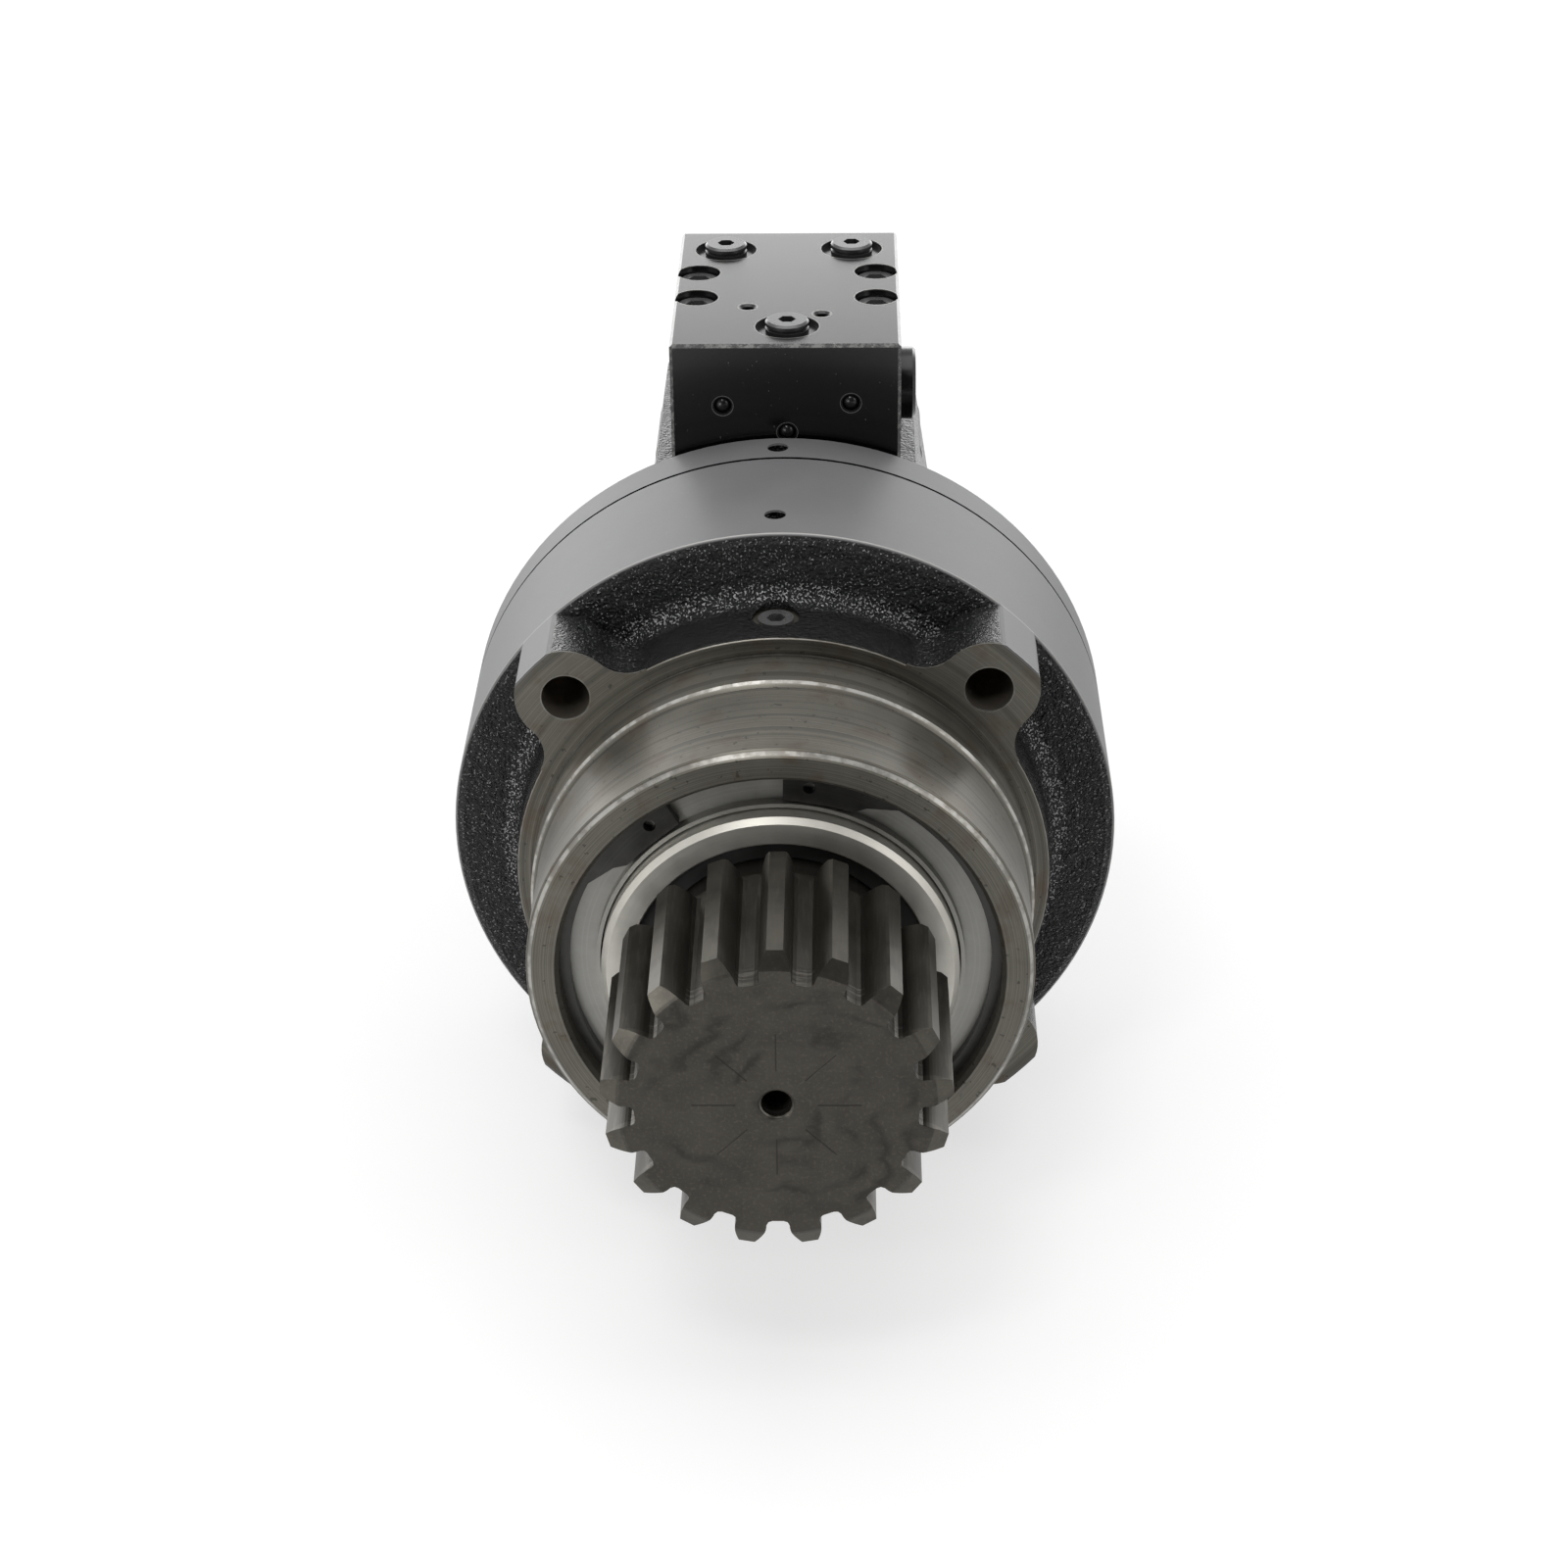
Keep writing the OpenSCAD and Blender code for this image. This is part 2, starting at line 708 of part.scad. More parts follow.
module brake_linings() {
    color(bronze) for (i = [0:disc_count - 1])
        translate([0, disc_start + steel_thickness + running_gap + i * disc_pitch, 0])
            ring(brake_room_r - 6, barrel_r, 0, lining_thickness);
}

module brake_piston() {
    color(grey_steel) difference() {
        ring(brake_room_r - running_gap, barrel_r + 5, brake_front, brake_back);
        around(spring_count, spring_circle_r) bar(spring_coil_r + 1.4, spring_seat_y, brake_back + 1);
    }
}

// Helical springs between the brake piston and the rear cover
function spring_point(turn, side) =
    let (a = 360 * turn, s = 360 * side / 6, r = spring_coil_r + spring_wire_r * cos(s),
         rise = valve_plate_back - spring_seat_y - 2 * spring_wire_r - 0.1,
         y = spring_seat_y + 0.05 + spring_wire_r + rise * turn / spring_turns + spring_wire_r * sin(s))
    [r * cos(a), y, r * sin(a)];

module coil_spring() {
    steps = spring_turns * 10;
    polyhedron(
        points = [for (i = [0:steps], k = [0:5]) spring_point(i / 10, k)],
        faces = concat(
            [[for (k = [0:5]) k], [for (k = [5:-1:0]) steps * 6 + k]],
            [for (i = [0:steps - 1], k = [0:5])
                let (a = i * 6 + k, b = i * 6 + (k + 1) % 6) [a, a + 6, b + 6, b]]
        ),
        convexity = 8
    );
}

module brake_springs() {
    color(grey_steel) around(spring_count, spring_circle_r) coil_spring();
}

module kidney_slots(from, to) {
    for (side = [-1, 1], k = [-2:2]) at_clock((side > 0 ? 0 : 180) + 22 * k)
        translate([bore_circle_r, 0, 0]) bar(kidney_r, from, to);
}

module valve_plate() {
    color(bronze) difference() {
        ring(barrel_r - 2, 24, barrel_back + running_gap, valve_plate_back);
        kidney_slots(barrel_back, valve_plate_back + 1);
    }
}

module rear_cover() {
    color(cast_black) difference() {
        union() {
            turned([
                [0, valve_plate_back], [brake_room_r, valve_plate_back], [brake_room_r, motor_back],
                [motor_r, motor_back], [motor_r, cover_head_y], [motor_r - 8, cover_back], [0, cover_back]
            ]);
            tower(motor_back, cover_back - 8);
            at_cover_bolts() bar(cover_boss_r, motor_back, cover_head_y);
        }
        bar(ball_race_r, valve_plate_back - 1, rear_ball_y + ball_width);
        bar(ball_bore_r + 2, valve_plate_back, rear_ball_y + ball_width + 5);
        ring(brake_room_r + 1, brake_room_r - 2 * seal_ring_r,
            motor_back - 3 - seal_ring_r, motor_back - 3 + seal_ring_r);
        at_cover_bolts() {
            bar(screw_hole_r, motor_back - 1, cover_back + 1);
            bar(head_hole_r, cover_head_y, cover_back + 1);
        }
        for (x = [ports[0][0], ports[1][0]]) {
            translate([x, line_end[0], 20]) cylinder(r = line_bore_r, h = block_seat);
            translate([x, 0, 22]) bar(line_bore_r, valve_plate_back - 1, 240);
        }
    }
}

module cover_bolts() {
    color(dark_steel) at_cover_bolts() translate([0, cover_head_y, 0]) cap_screw(36);
}

// Valve block
module chamfered_box(low, high, cut) {
    size = high - low;
    intersection() {
        translate([0, low[1], 0]) rotate([-90, 0, 0]) linear_extrude(size[1])
            scale([1, -1]) chamfered_outline(low[0], high[0], low[2], high[2], cut);
        translate([0, 0, low[2]]) linear_extrude(size[2])
            chamfered_outline(low[0], high[0], low[1], high[1], cut);
        translate([low[0], 0, 0]) rotate([90, 0, 90]) linear_extrude(size[0])
            chamfered_outline(low[1], high[1], low[2], high[2], cut);
    }
}

module chamfered_outline(x0, x1, y0, y1, cut) {
    polygon([
        [x0 + cut, y0], [x1 - cut, y0], [x1, y0 + cut], [x1, y1 - cut],
        [x1 - cut, y1], [x0 + cut, y1], [x0, y1 - cut], [x0, y0 + cut]
    ]);
}

module valve_block() {
    color(paint_black) difference() {
        chamfered_box(
            [block_left, block_front, block_seat], [block_right, block_back, block_top], block_edge
        );
        for (p = block_bolts) translate([p[0], p[1], 0]) {
            translate([0, 0, head_seat_z]) cylinder(r = head_hole_r, h = 30);
            translate([0, 0, block_seat - 1]) cylinder(r = screw_hole_r, h = 60);
        }
        for (i = [0:2]) translate([ports[i][0], ports[i][1], 0]) {
            translate([0, 0, block_top - port_spot_depth]) cylinder(r = port_spot_r, h = 5);
            translate([0, 0, block_top - port_depth]) cylinder(r = port_thread_r, h = port_depth);
            translate([0, 0, line_z[i]]) cylinder(r = line_bore_r, h = block_top - line_z[i]);
        }
        for (i = [0:2]) translate([ports[i][0], line_end[i], block_seat - 1])
            cylinder(r = line_bore_r, h = line_z[i] - block_seat + 1);
        for (p = small_holes) translate([p[0], p[1], block_top]) {
            translate([0, 0, -10]) cylinder(r = 2.5, h = 12);
            translate([0, 0, -1]) cylinder(r1 = 2.5, r2 = 4, h = 1.5);
        }
        for (i = [0:2]) translate([ball_plug_places[i][0], 0, ball_plug_places[i][1]]) {
            bar(ball_plug_r, block_front - 1, block_front + 9);
            bar(line_r, block_front + 8, line_end[i]);
        }
        translate([block_right - 18, side_cap_y, side_cap_z]) rotate([0, 90, 0]) cylinder(r = 9, h = 20);
    }
}

module block_bolts() {
    color(dark_steel) for (p = block_bolts) translate([p[0], p[1], head_seat_z])
        rotate([90, 0, 0]) cap_screw(60);
}

module port_plugs() {
    groove = port_plug_r - 0.7;
    color(dark_steel) for (p = ports) translate([p[0], p[1], block_top - port_spot_depth]) difference() {
        rotate_extrude() polygon([
            [0, -12], [port_thread_r, -12], [port_thread_r, 0], [port_plug_r, 0], [port_plug_r, 1.8],
            [groove, 2.1], [groove, 2.7], [port_plug_r, 3], [port_plug_r, 4.3],
            [port_plug_r - 0.9, 5.1], [0, 5.1]
        ]);
        translate([0, 0, 1]) cylinder(r = 3.46, h = 6, $fn = 6);
    }
}

module ball_plugs() {
    color(dark_steel) for (p = ball_plug_places) translate([p[0], block_front, p[1]]) {
        ring(ball_plug_r, plug_ball_r, 0.5, 8);
        translate([0, plug_ball_r + 0.2, 0]) sphere(r = plug_ball_r - 0.02, $fn = 32);
    }
}

module side_cap() {
    color(dark_steel) translate([block_right, side_cap_y, side_cap_z]) rotate([0, 90, 0]) difference() {
        union() {
            translate([0, 0, -14]) cylinder(r = 9, h = 15);
            rotate_extrude() polygon([
                [0, 0], [side_cap_r, 0], [side_cap_r, side_cap_out - 1.2], [side_cap_r - 1.2, side_cap_out],
                [0, side_cap_out]
            ]);
        }
        translate([0, 0, side_cap_out - 4]) cylinder(r = 5.8, h = 6, $fn = 6);
    }
}

// Output shaft, made in one piece with the pinion
module pinion_shaft() {
    tip = pinion_module * pinion_teeth / 2 + 0.8 * pinion_module;
    root = pinion_module * pinion_teeth / 2 - pinion_module;
    front = -pinion_reach;
    back = front + pinion_face;
    color(gear_steel) difference() {
        union() {
            intersection() {
                at_clock(top) slab(front, back)
                    polygon(gear_outline(pinion_teeth, pinion_module, root, tip, gear_play, root_fillet, 8));
                turned([
                    [0, front], [tip - pinion_chamfer, front], [tip, front + chamfer_depth],
                    [tip, back - 2], [tip - 2, back], [0, back]
                ]);
            }
            turned([
                [0, back - 4], [root, back - 4], [root, back + 3], [front_seat_r + 1, back + 6],
                [front_seat_r, -nose_length + collar_recess], [front_seat_r, shoulder_front],
                [rear_seat_r + 2, shoulder_front], [rear_seat_r + 2, shoulder_back],
                [rear_seat_r, shoulder_back], [rear_seat_r, rear_cup_end],
                [nut_thread_r, rear_cup_end], [nut_thread_r, nut_end_y],
                [shaft_spline[3] - 2, nut_end_y],
                [shaft_spline[3] - 2, shaft_end_y - 1], [0, shaft_end_y - 1]
            ]);
            spline(shaft_spline, nut_end_y - 1, shaft_end_y);
        }
        translate([0, front, 0]) turned([[0, -1], [6.2, -1], [6.2, 0], [5.2, 1], [5.2, 22], [0, 25]]);
    }
}

module seal_collar() {
    front = -nose_length;
    color(bright_steel) turned([
        [collar_recess_r + 0.5, front], [collar_r - collar_bevel, front], [collar_r, front + collar_bevel],
        [collar_r, front_bearing_y], [front_seat_r, front_bearing_y], [front_seat_r, front + collar_recess],
        [collar_recess_r, front + collar_recess], [collar_recess_r, front + 0.5]
    ]);
}

module collar_o_ring() {
    color(rubber_black)
        ring(collar_recess_r, front_seat_r + 1.2, -nose_length + 4, -nose_length + collar_recess);
}

// Slotted lock nut behind the rear bearing
module bearing_nut() {
    color(grey_steel) difference() {
        ring(53, nut_thread_r, rear_cup_end, nut_end_y);
        around(6, 53, 0) translate([-3, rear_cup_end - 1, -3]) cube([6, nut_end_y - rear_cup_end + 2, 6]);
    }
}

module output_carrier() {
    color(grey_steel) difference() {
        turned([[0, carrier2_front], [carrier_r - 3, carrier2_front], [carrier_r, carrier2_front + 3],
                [carrier_r, carrier2_back - 1], [carrier_r - 1, carrier2_back], [0, carrier2_back]]);
        spline(shaft_spline, carrier2_front - 1, carrier2_back + 1);
        around(planet_count, planet_circle_r) bar(pin_r, carrier2_front - 1, carrier2_back + 1);
        around(planet_count, 66, top + 60) bar(9, carrier2_front - 1, carrier2_back + 1);
    }
}

module first_carrier() {
    color(grey_steel) difference() {
        ring(carrier_r, 0.5, carrier1_front, carrier1_back);
        spline(sun_spline, carrier1_front - 1, carrier1_back + 1);
        around(planet_count, planet_circle_r) bar(pin_r, carrier1_front - 1, carrier1_back + 1);
        around(planet_count, 60, top + 60) bar(13, carrier1_front - 1, carrier1_back + 1);
    }
}

module planet_pins(from, face_back, to) {
    around(planet_count, planet_circle_r) difference() {
        union() {
            bar(pin_r, from, to);
            bar(pin_head_r, face_back + 0.2, to);
        }
        bar(3, from + 10, to + 1);
    }
}

module output_planet_pins() {
    color(bright_steel) planet_pins(carrier2_front, stage2_back, pin2_end);
}

module first_planet_pins() {
    color(bright_steel) planet_pins(carrier1_front, stage1_back, pin1_end);
}

module planet(number, from, to) {
    clock = top + 360 / planet_count * (number - 1);
    color(gear_steel) at_clock(clock) translate([planet_circle_r, 0, 0]) difference() {
        at_clock(planet_gap_turn) stage_gear(planet_teeth, from, to);
        bar(pin_r + pin_gap, from - 1, to + 1);
    }
}

module output_sun() {
    color(gear_steel) {
        at_clock(top) stage_gear(sun_teeth, stage2_front + 0.5, stage2_back + 0.5);
        spline(sun_spline, stage2_back, carrier1_back);
    }
}

module first_sun() {
    color(gear_steel) difference() {
        at_clock(top) stage_gear(sun_teeth, stage1_front + 0.5, stage1_back + 1);
        spline(motor_spline, stage1_front - 1, stage1_back + 2);
    }
}

module motor_shaft() {
    color(bright_steel) union() {
        spline(motor_spline, stage1_front + 0.5, ring_end_y - 0.5);
        turned([
            [0, ring_end_y - 1], [ball_bore_r, ring_end_y - 1], [ball_bore_r, motor_floor],
            [shaft_body_r + 2, motor_floor], [shaft_body_r + 2, pivot_y - 10], [ball_bore_r, pivot_y - 10],
            [ball_bore_r, rear_ball_y + ball_width], [0, rear_ball_y + ball_width]
        ]);
        spline(block_spline, pivot_y - 10, barrel_back);
    }
}

module cylinder_block() {
    color(grey_steel) difference() {
        bar(barrel_r, barrel_front, barrel_back);
        spline(block_spline, barrel_front - 1, barrel_back + 1);
        around(piston_count, bore_circle_r) {
            bar(piston_bore_r, barrel_front - 1, barrel_floor);
            bar(kidney_r, barrel_floor - 1, barrel_back + 1);
        }
    }
}

module retainer_guide() {
    color(bronze) difference() {
        intersection() {
            translate([0, pivot_y, 0]) rotate([-90, 0, 0]) sphere(r = guide_r);
            bar(guide_r + 1, pivot_y - 9, pivot_y + 14);
        }
        spline(block_spline, pivot_y - 10, pivot_y + 15);
    }
}

// Piston shoes and the plate that holds them on the swash plate
module piston_shoes() {
    socket_r = ball_joint_r + 2 * running_gap;
    lip = 2;
    color(bronze) tilted() around(piston_count, ball_circle_tilted_r) turned(concat(
        [[0, -shoe_height], [shoe_r, -shoe_height], [shoe_r, -shoe_height + shoe_base],
         [shoe_neck_r, -shoe_height + shoe_base], [shoe_neck_r, lip]],
        arc(0, 0, socket_r, asin(lip / socket_r), -90, 9)
    ));
}

module shoe_retainer() {
    from = -shoe_height + shoe_base + running_gap;
    color(gear_steel) tilted() difference() {
        ring(retainer_r, guide_r + 0.3, from, from + retainer_thickness);
        around(piston_count, ball_circle_tilted_r)
            bar(shoe_neck_r + 0.2, from - 1, from + retainer_thickness + 1);
    }
}

module piston(number) {
    clock = top + 360 / piston_count * (number - 1);
    x = ball_circle_tilted_r * cos(clock);
    z = ball_circle_tilted_r * sin(clock);
    color(bright_steel) translate([x, pivot_y - z * sin(swash_tilt), z * cos(swash_tilt)]) difference() {
        union() {
            sphere(r = ball_joint_r);
            turned([
                [0, 2], [piston_neck_r, 2], [piston_neck_r, piston_shoulder - 2],
                [piston_r, piston_shoulder], [piston_r, piston_length], [0, piston_length]
            ]);
        }
        bar(piston_r - 3, piston_length - 26, piston_length + 1);
    }
}

gear_case();
ring_gear();
front_bearing_cup();
rear_bearing_cup();
bearing_circlip();
seal_plate();
shaft_seal();
case_plug();
motor_casing();
housing_o_rings();
flange_bolts();
motor_shaft_seal();
motor_bearing_outer_races();
swash_plate();
brake_steel_discs();
valve_plate();
rear_cover();
cover_bolts();
valve_block();
block_bolts();
port_plugs();
ball_plugs();
side_cap();
brake_piston();
brake_springs();
pinion_shaft();
seal_collar();
collar_o_ring();
front_bearing_cone();
front_bearing_rollers();
rear_bearing_cone();
rear_bearing_rollers();
bearing_nut();
output_carrier();
output_planet_pins();
first_carrier();
output_sun();
first_planet_pins();
motor_shaft();
first_sun();
cylinder_block();
brake_linings();
motor_bearing_inner_races();
motor_bearing_balls();
retainer_guide();
piston_shoes();
shoe_retainer();
for (i = [1:planet_count]) {
    planet(i, stage2_front + 0.2, stage2_back);
    planet(i, stage1_front + 0.2, stage1_back);
}
for (i = [1:piston_count]) {
    piston(i);
}
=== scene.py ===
# %% [markdown]
# # A hydraulic swing drive
#
# The part lies on its round gear case. A stub pinion comes out of the front, and a painted valve block
# sits on the motor behind the case. All shapes come from the CAD model, which is loaded first and never
# moved. This lesson gives those shapes their finishes, and then the light and the camera.

# %% Load the CAD model
import math

import bpy
from mathutils import Matrix, Vector


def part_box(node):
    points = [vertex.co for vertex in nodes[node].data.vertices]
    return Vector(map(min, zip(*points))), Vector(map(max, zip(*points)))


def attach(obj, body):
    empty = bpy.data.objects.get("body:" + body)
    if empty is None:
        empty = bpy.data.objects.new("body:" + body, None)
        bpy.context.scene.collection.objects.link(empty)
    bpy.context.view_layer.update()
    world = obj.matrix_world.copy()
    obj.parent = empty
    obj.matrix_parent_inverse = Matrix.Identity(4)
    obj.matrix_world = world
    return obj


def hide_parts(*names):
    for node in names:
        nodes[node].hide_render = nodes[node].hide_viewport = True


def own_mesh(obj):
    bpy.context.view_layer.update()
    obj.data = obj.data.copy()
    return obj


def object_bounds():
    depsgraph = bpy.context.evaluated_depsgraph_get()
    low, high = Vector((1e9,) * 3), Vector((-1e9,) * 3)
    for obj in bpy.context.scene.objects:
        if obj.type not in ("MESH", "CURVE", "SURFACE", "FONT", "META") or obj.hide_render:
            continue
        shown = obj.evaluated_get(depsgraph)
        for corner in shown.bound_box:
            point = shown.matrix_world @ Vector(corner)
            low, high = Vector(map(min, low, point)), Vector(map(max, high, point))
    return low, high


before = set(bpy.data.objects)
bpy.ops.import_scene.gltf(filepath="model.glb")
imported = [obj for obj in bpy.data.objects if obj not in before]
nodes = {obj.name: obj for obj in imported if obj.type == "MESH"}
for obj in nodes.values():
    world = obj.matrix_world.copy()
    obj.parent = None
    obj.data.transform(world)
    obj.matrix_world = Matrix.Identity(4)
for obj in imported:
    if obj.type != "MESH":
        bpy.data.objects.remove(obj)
cad_box = [list(corner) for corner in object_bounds()]
print(len(nodes), "CAD nodes, box in metres", cad_box)

# %% [markdown]
# ## The camera
#
# The camera stands in front of the pinion and looks down by about 29 degrees. A camera could be aimed
# with a Track To constraint, but its place in metres, its three angles in radians and its lens were
# measured on the photograph, so its matrix is written out from them. The matrix has three columns: the
# picture's right, its up and its back.

# %% Place the camera
CAMERA_PLACE = (0.0227, -1.0585, 0.6307)
YAW, PITCH, ROLL = 0.0208, 0.5096, -0.0118
SENSOR_MM, LENS_MM = 36, 76.18

forward = Vector((-math.sin(YAW) * math.cos(PITCH), math.cos(YAW) * math.cos(PITCH), -math.sin(PITCH)))
sideways = Vector((math.cos(YAW), math.sin(YAW), 0))
upright = sideways.cross(forward)
right = math.cos(ROLL) * sideways + math.sin(ROLL) * upright
up = -math.sin(ROLL) * sideways + math.cos(ROLL) * upright

camera_data = bpy.data.cameras.new("camera")
camera_data.sensor_width = SENSOR_MM
camera_data.lens = LENS_MM
camera = bpy.data.objects.new("camera", camera_data)
bpy.context.collection.objects.link(camera)
turned = Matrix((right, up, -forward)).transposed().to_4x4()
camera.matrix_world = Matrix.Translation(CAMERA_PLACE) @ turned
bpy.context.scene.camera = camera
print("camera looks along", [round(v, 3) for v in forward])

# %% [markdown]
# ## Sums on sockets
#
# A finish is a small sum: how far a point is from the axis, how rough the paint is there, how deep a
# scratch goes. Each step of such a sum is a Math node. Wrapping a socket in a class that knows plus,
# minus, times and divide lets the sum be written as a line of Python, and the nodes are added behind it.

# %% A number that changes over the surface
class Amount:
    def __init__(self, finish, socket):
        self.finish, self.socket = finish, socket

    def __add__(self, other):
        return self.finish.sum("ADD", self, other)

    def __sub__(self, other):
        return self.finish.sum("SUBTRACT", self, other)

    def __rsub__(self, other):
        return self.finish.sum("SUBTRACT", other, self)

    def __mul__(self, other):
        return self.finish.sum("MULTIPLY", self, other)

    def __truediv__(self, other):
        return self.finish.sum("DIVIDE", self, other)

    def __rtruediv__(self, other):
        return self.finish.sum("DIVIDE", other, self)

    def __abs__(self):
        return self.finish.sum("ABSOLUTE", self)

    __radd__ = __add__
    __rmul__ = __mul__


def plain(value):
    """The socket of an amount, and any other value as it is."""
    return value.socket if isinstance(value, Amount) else value


# %% [markdown]
# ## One recipe for every finish
#
# A finish starts from Object coordinates, turned into millimetres, so a grain of 1 mm is written as 1.
# Most of this part is turned on a lathe, so the recipe also gives the distance from the drive axis.
# Noise, soft steps, bands and bumps are the only tools that the finishes below need.

# %% The recipe
def colour(code):
    """Linear colour of a hexadecimal screen colour."""
    parts = [int(code[i:i + 2], 16) / 255 for i in (1, 3, 5)]
    return [p / 12.92 if p <= 0.04045 else ((p + 0.055) / 1.055) ** 2.4 for p in parts] + [1]


def input_name(key):
    """The shader's name for an input, from a keyword such as base_color."""
    return key.replace("_", " ").title()


class Finish:
    def __init__(self, name, **uniform):
        self.material = bpy.data.materials.new(name)
        self.material.use_nodes = True
        self.tree = self.material.node_tree
        self.tree.nodes.clear()
        self.shader = self.node("BsdfPrincipled", {}, {input_name(key): v for key, v in uniform.items()})
        self.node("OutputMaterial", {}, {"Surface": self.shader.outputs["BSDF"]})
        metres = self.node("TexCoord", {}, {}).outputs["Object"]
        scaled = self.node("VectorMath", {"operation": "SCALE"}, {"Vector": metres, "Scale": 1000})
        self.place = scaled.outputs["Vector"]
        parts = self.node("SeparateXYZ", {}, {"Vector": self.place})
        self.x, self.y, self.z = (Amount(self, parts.outputs[axis]) for axis in "XYZ")
        self.r = self.length(self.x, self.z)

    def node(self, kind, settings, sockets):
        """Adds a node, with its settings first and then the values or links of its sockets."""
        new = self.tree.nodes.new("ShaderNode" + kind)
        for key, value in settings.items():
            setattr(new, key, value)
        for key, value in sockets.items():
            value = plain(value)
            if isinstance(value, bpy.types.NodeSocket):
                self.tree.links.new(value, new.inputs[key])
            else:
                new.inputs[key].default_value = value
        return new

    def sum(self, operation, *values):
        new = self.node("Math", {"operation": operation}, dict(enumerate(values)))
        return Amount(self, new.outputs[0])

    def length(self, across, along):
        """Distance from a point, from its two parts."""
        return self.sum("SQRT", across * across + along * along)

    def larger(self, first, *others):
        for other in others:
            first = self.sum("MAXIMUM", first, other)
        return first

    def smaller(self, first, *others):
        for other in others:
            first = self.sum("MINIMUM", first, other)
        return first

    def step(self, value, low, high):
        """0 below low, 1 above high, smooth between."""
        new = self.node("MapRange", {"interpolation_type": "SMOOTHSTEP"}, {0: value, 1: low, 2: high})
        return Amount(self, new.outputs[0])

    def band(self, value, middle, half, soft):
        """1 within half of the middle, 0 beyond it."""
        return 1 - self.step(abs(value - middle), half, half + soft)

    def noise(self, size, detail=2, roughness=0.5, stretch=(1, 1, 1), at=None):
        """Soft random field whose blobs are about size millimetres wide."""
        scale = [s / size for s in stretch]
        scaled = self.node("VectorMath", {"operation": "MULTIPLY"}, {0: at or self.place, 1: scale})
        grain = {"Vector": scaled.outputs[0], "Scale": 1, "Detail": detail, "Roughness": roughness}
        return Amount(self, self.node("TexNoise", {}, grain).outputs[0])

    def shifted(self, by):
        """The same place moved aside, for a noise that is unlike the others."""
        return self.node("VectorMath", {"operation": "ADD"}, {0: self.place, 1: (by, by, by)}).outputs[0]

    def rings(self, pitch):
        """Marks of a lathe tool: random over radius and length, the same all round."""
        grain = {"W": (self.r + self.y) / pitch, "Scale": 1, "Detail": 3}
        return Amount(self, self.node("TexNoise", {"noise_dimensions": "1D"}, grain).outputs[0])

    def mix(self, mask, below, above):
        new = self.node("Mix", {"data_type": "RGBA"}, {0: mask, 6: below, 7: above})
        return new.outputs[2]

    def give(self, **sockets):
        """Links what changes over the surface to the shader."""
        for key, value in sockets.items():
            self.tree.links.new(plain(value), self.shader.inputs[input_name(key)])

    def bump(self, height):
        """Raises the surface by a height in millimetres."""
        new = self.node("Bump", {}, {"Height": height, "Distance": 0.001, "Strength": 1})
        self.tree.links.new(new.outputs["Normal"], self.shader.inputs["Normal"])
        return self.material


print("the recipe is ready")

# %% [markdown]
# ## Paint and bare iron
#
# The castings show three surfaces. The wide rims are turned and painted satin black, so the paint lies
# flat over fine rings; its colour is lifted to mid grey as painted sheen. The hollows are left as the sand
# mould made them, and the paint is glossy there, with painted glints on its grains and painted shade in its
# pits. The faces that meet another part are bare grey iron with rings from the lathe.
# Each surface is a function that returns a colour, a roughness and a height, so a casting can mix them.

# %% Surfaces of the castings
CASE_LOW, CASE_HIGH = ([c * 1000 for c in corner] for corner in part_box("gear_case"))
CASE_RADIUS = CASE_HIGH[0]
SPLIT_Y = CASE_HIGH[1]
CAST_SHEEN = 0.7


def on_rim(f):
    """1 on the turned outer face of case and flange."""
    return f.step(f.r, CASE_RADIUS - 0.9, CASE_RADIUS - 0.5)


def seam(f):
    """The dark joint between case and flange. Made metallic, black loses its highlight too."""
    return f.band(f.y, SPLIT_Y + 0.1, 0.65, 0.25)


def turned_paint(f):
    """Colour, roughness and height of satin black paint over a turned surface, coloured mid grey as painted
    sheen.
    """
    cloud = f.noise(26, 3)
    specks = f.step(f.noise(1.3, 1), 0.74, 0.79)
    # The black paint is coloured mid grey here: painted sheen, for the light that the rims reflect.
    shade = f.mix(cloud, colour("#616162"), colour("#6f6f70"))
    shade = f.mix(specks * 0.3, shade, colour("#8a8a88"))
    shade = f.mix(seam(f), shade, colour("#010101"))
    rough = 0.47 + cloud * 0.06 + f.noise(1.4, 2) * 0.04
    return shade, rough, f.rings(0.9) * 0.004 + f.noise(0.8, 3) * 0.005


def rough_casting(f, extra_glints=0):
    """Colour, roughness and height of glossy paint over sand casting, with painted glints and painted shade
    in its pits.
    """
    grain = f.noise(1.3, 3, 0.6)
    flow = f.noise(6, 3, 0.5, (1, 0.45, 1))
    pits = f.step(f.noise(3.6, 2), 0.68, 0.76)
    # Light specks are painted glints, a painted highlight on the glossy paint, made denser by the argument.
    painted_glints = f.step(f.noise(0.8, 1, at=f.shifted(31)) + extra_glints * 0.07, 0.6, 0.72)
    shade = f.mix(painted_glints * (extra_glints * 0.25 + 0.4), colour("#191919"), colour("#a8a8a8"))
    # The pits are painted darker, as painted shade.
    shade = f.mix(pits, shade, colour("#080808"))
    return shade, 0.16 + grain * 0.1, grain * 1.3 + flow * 1.4 - pits * 0.7


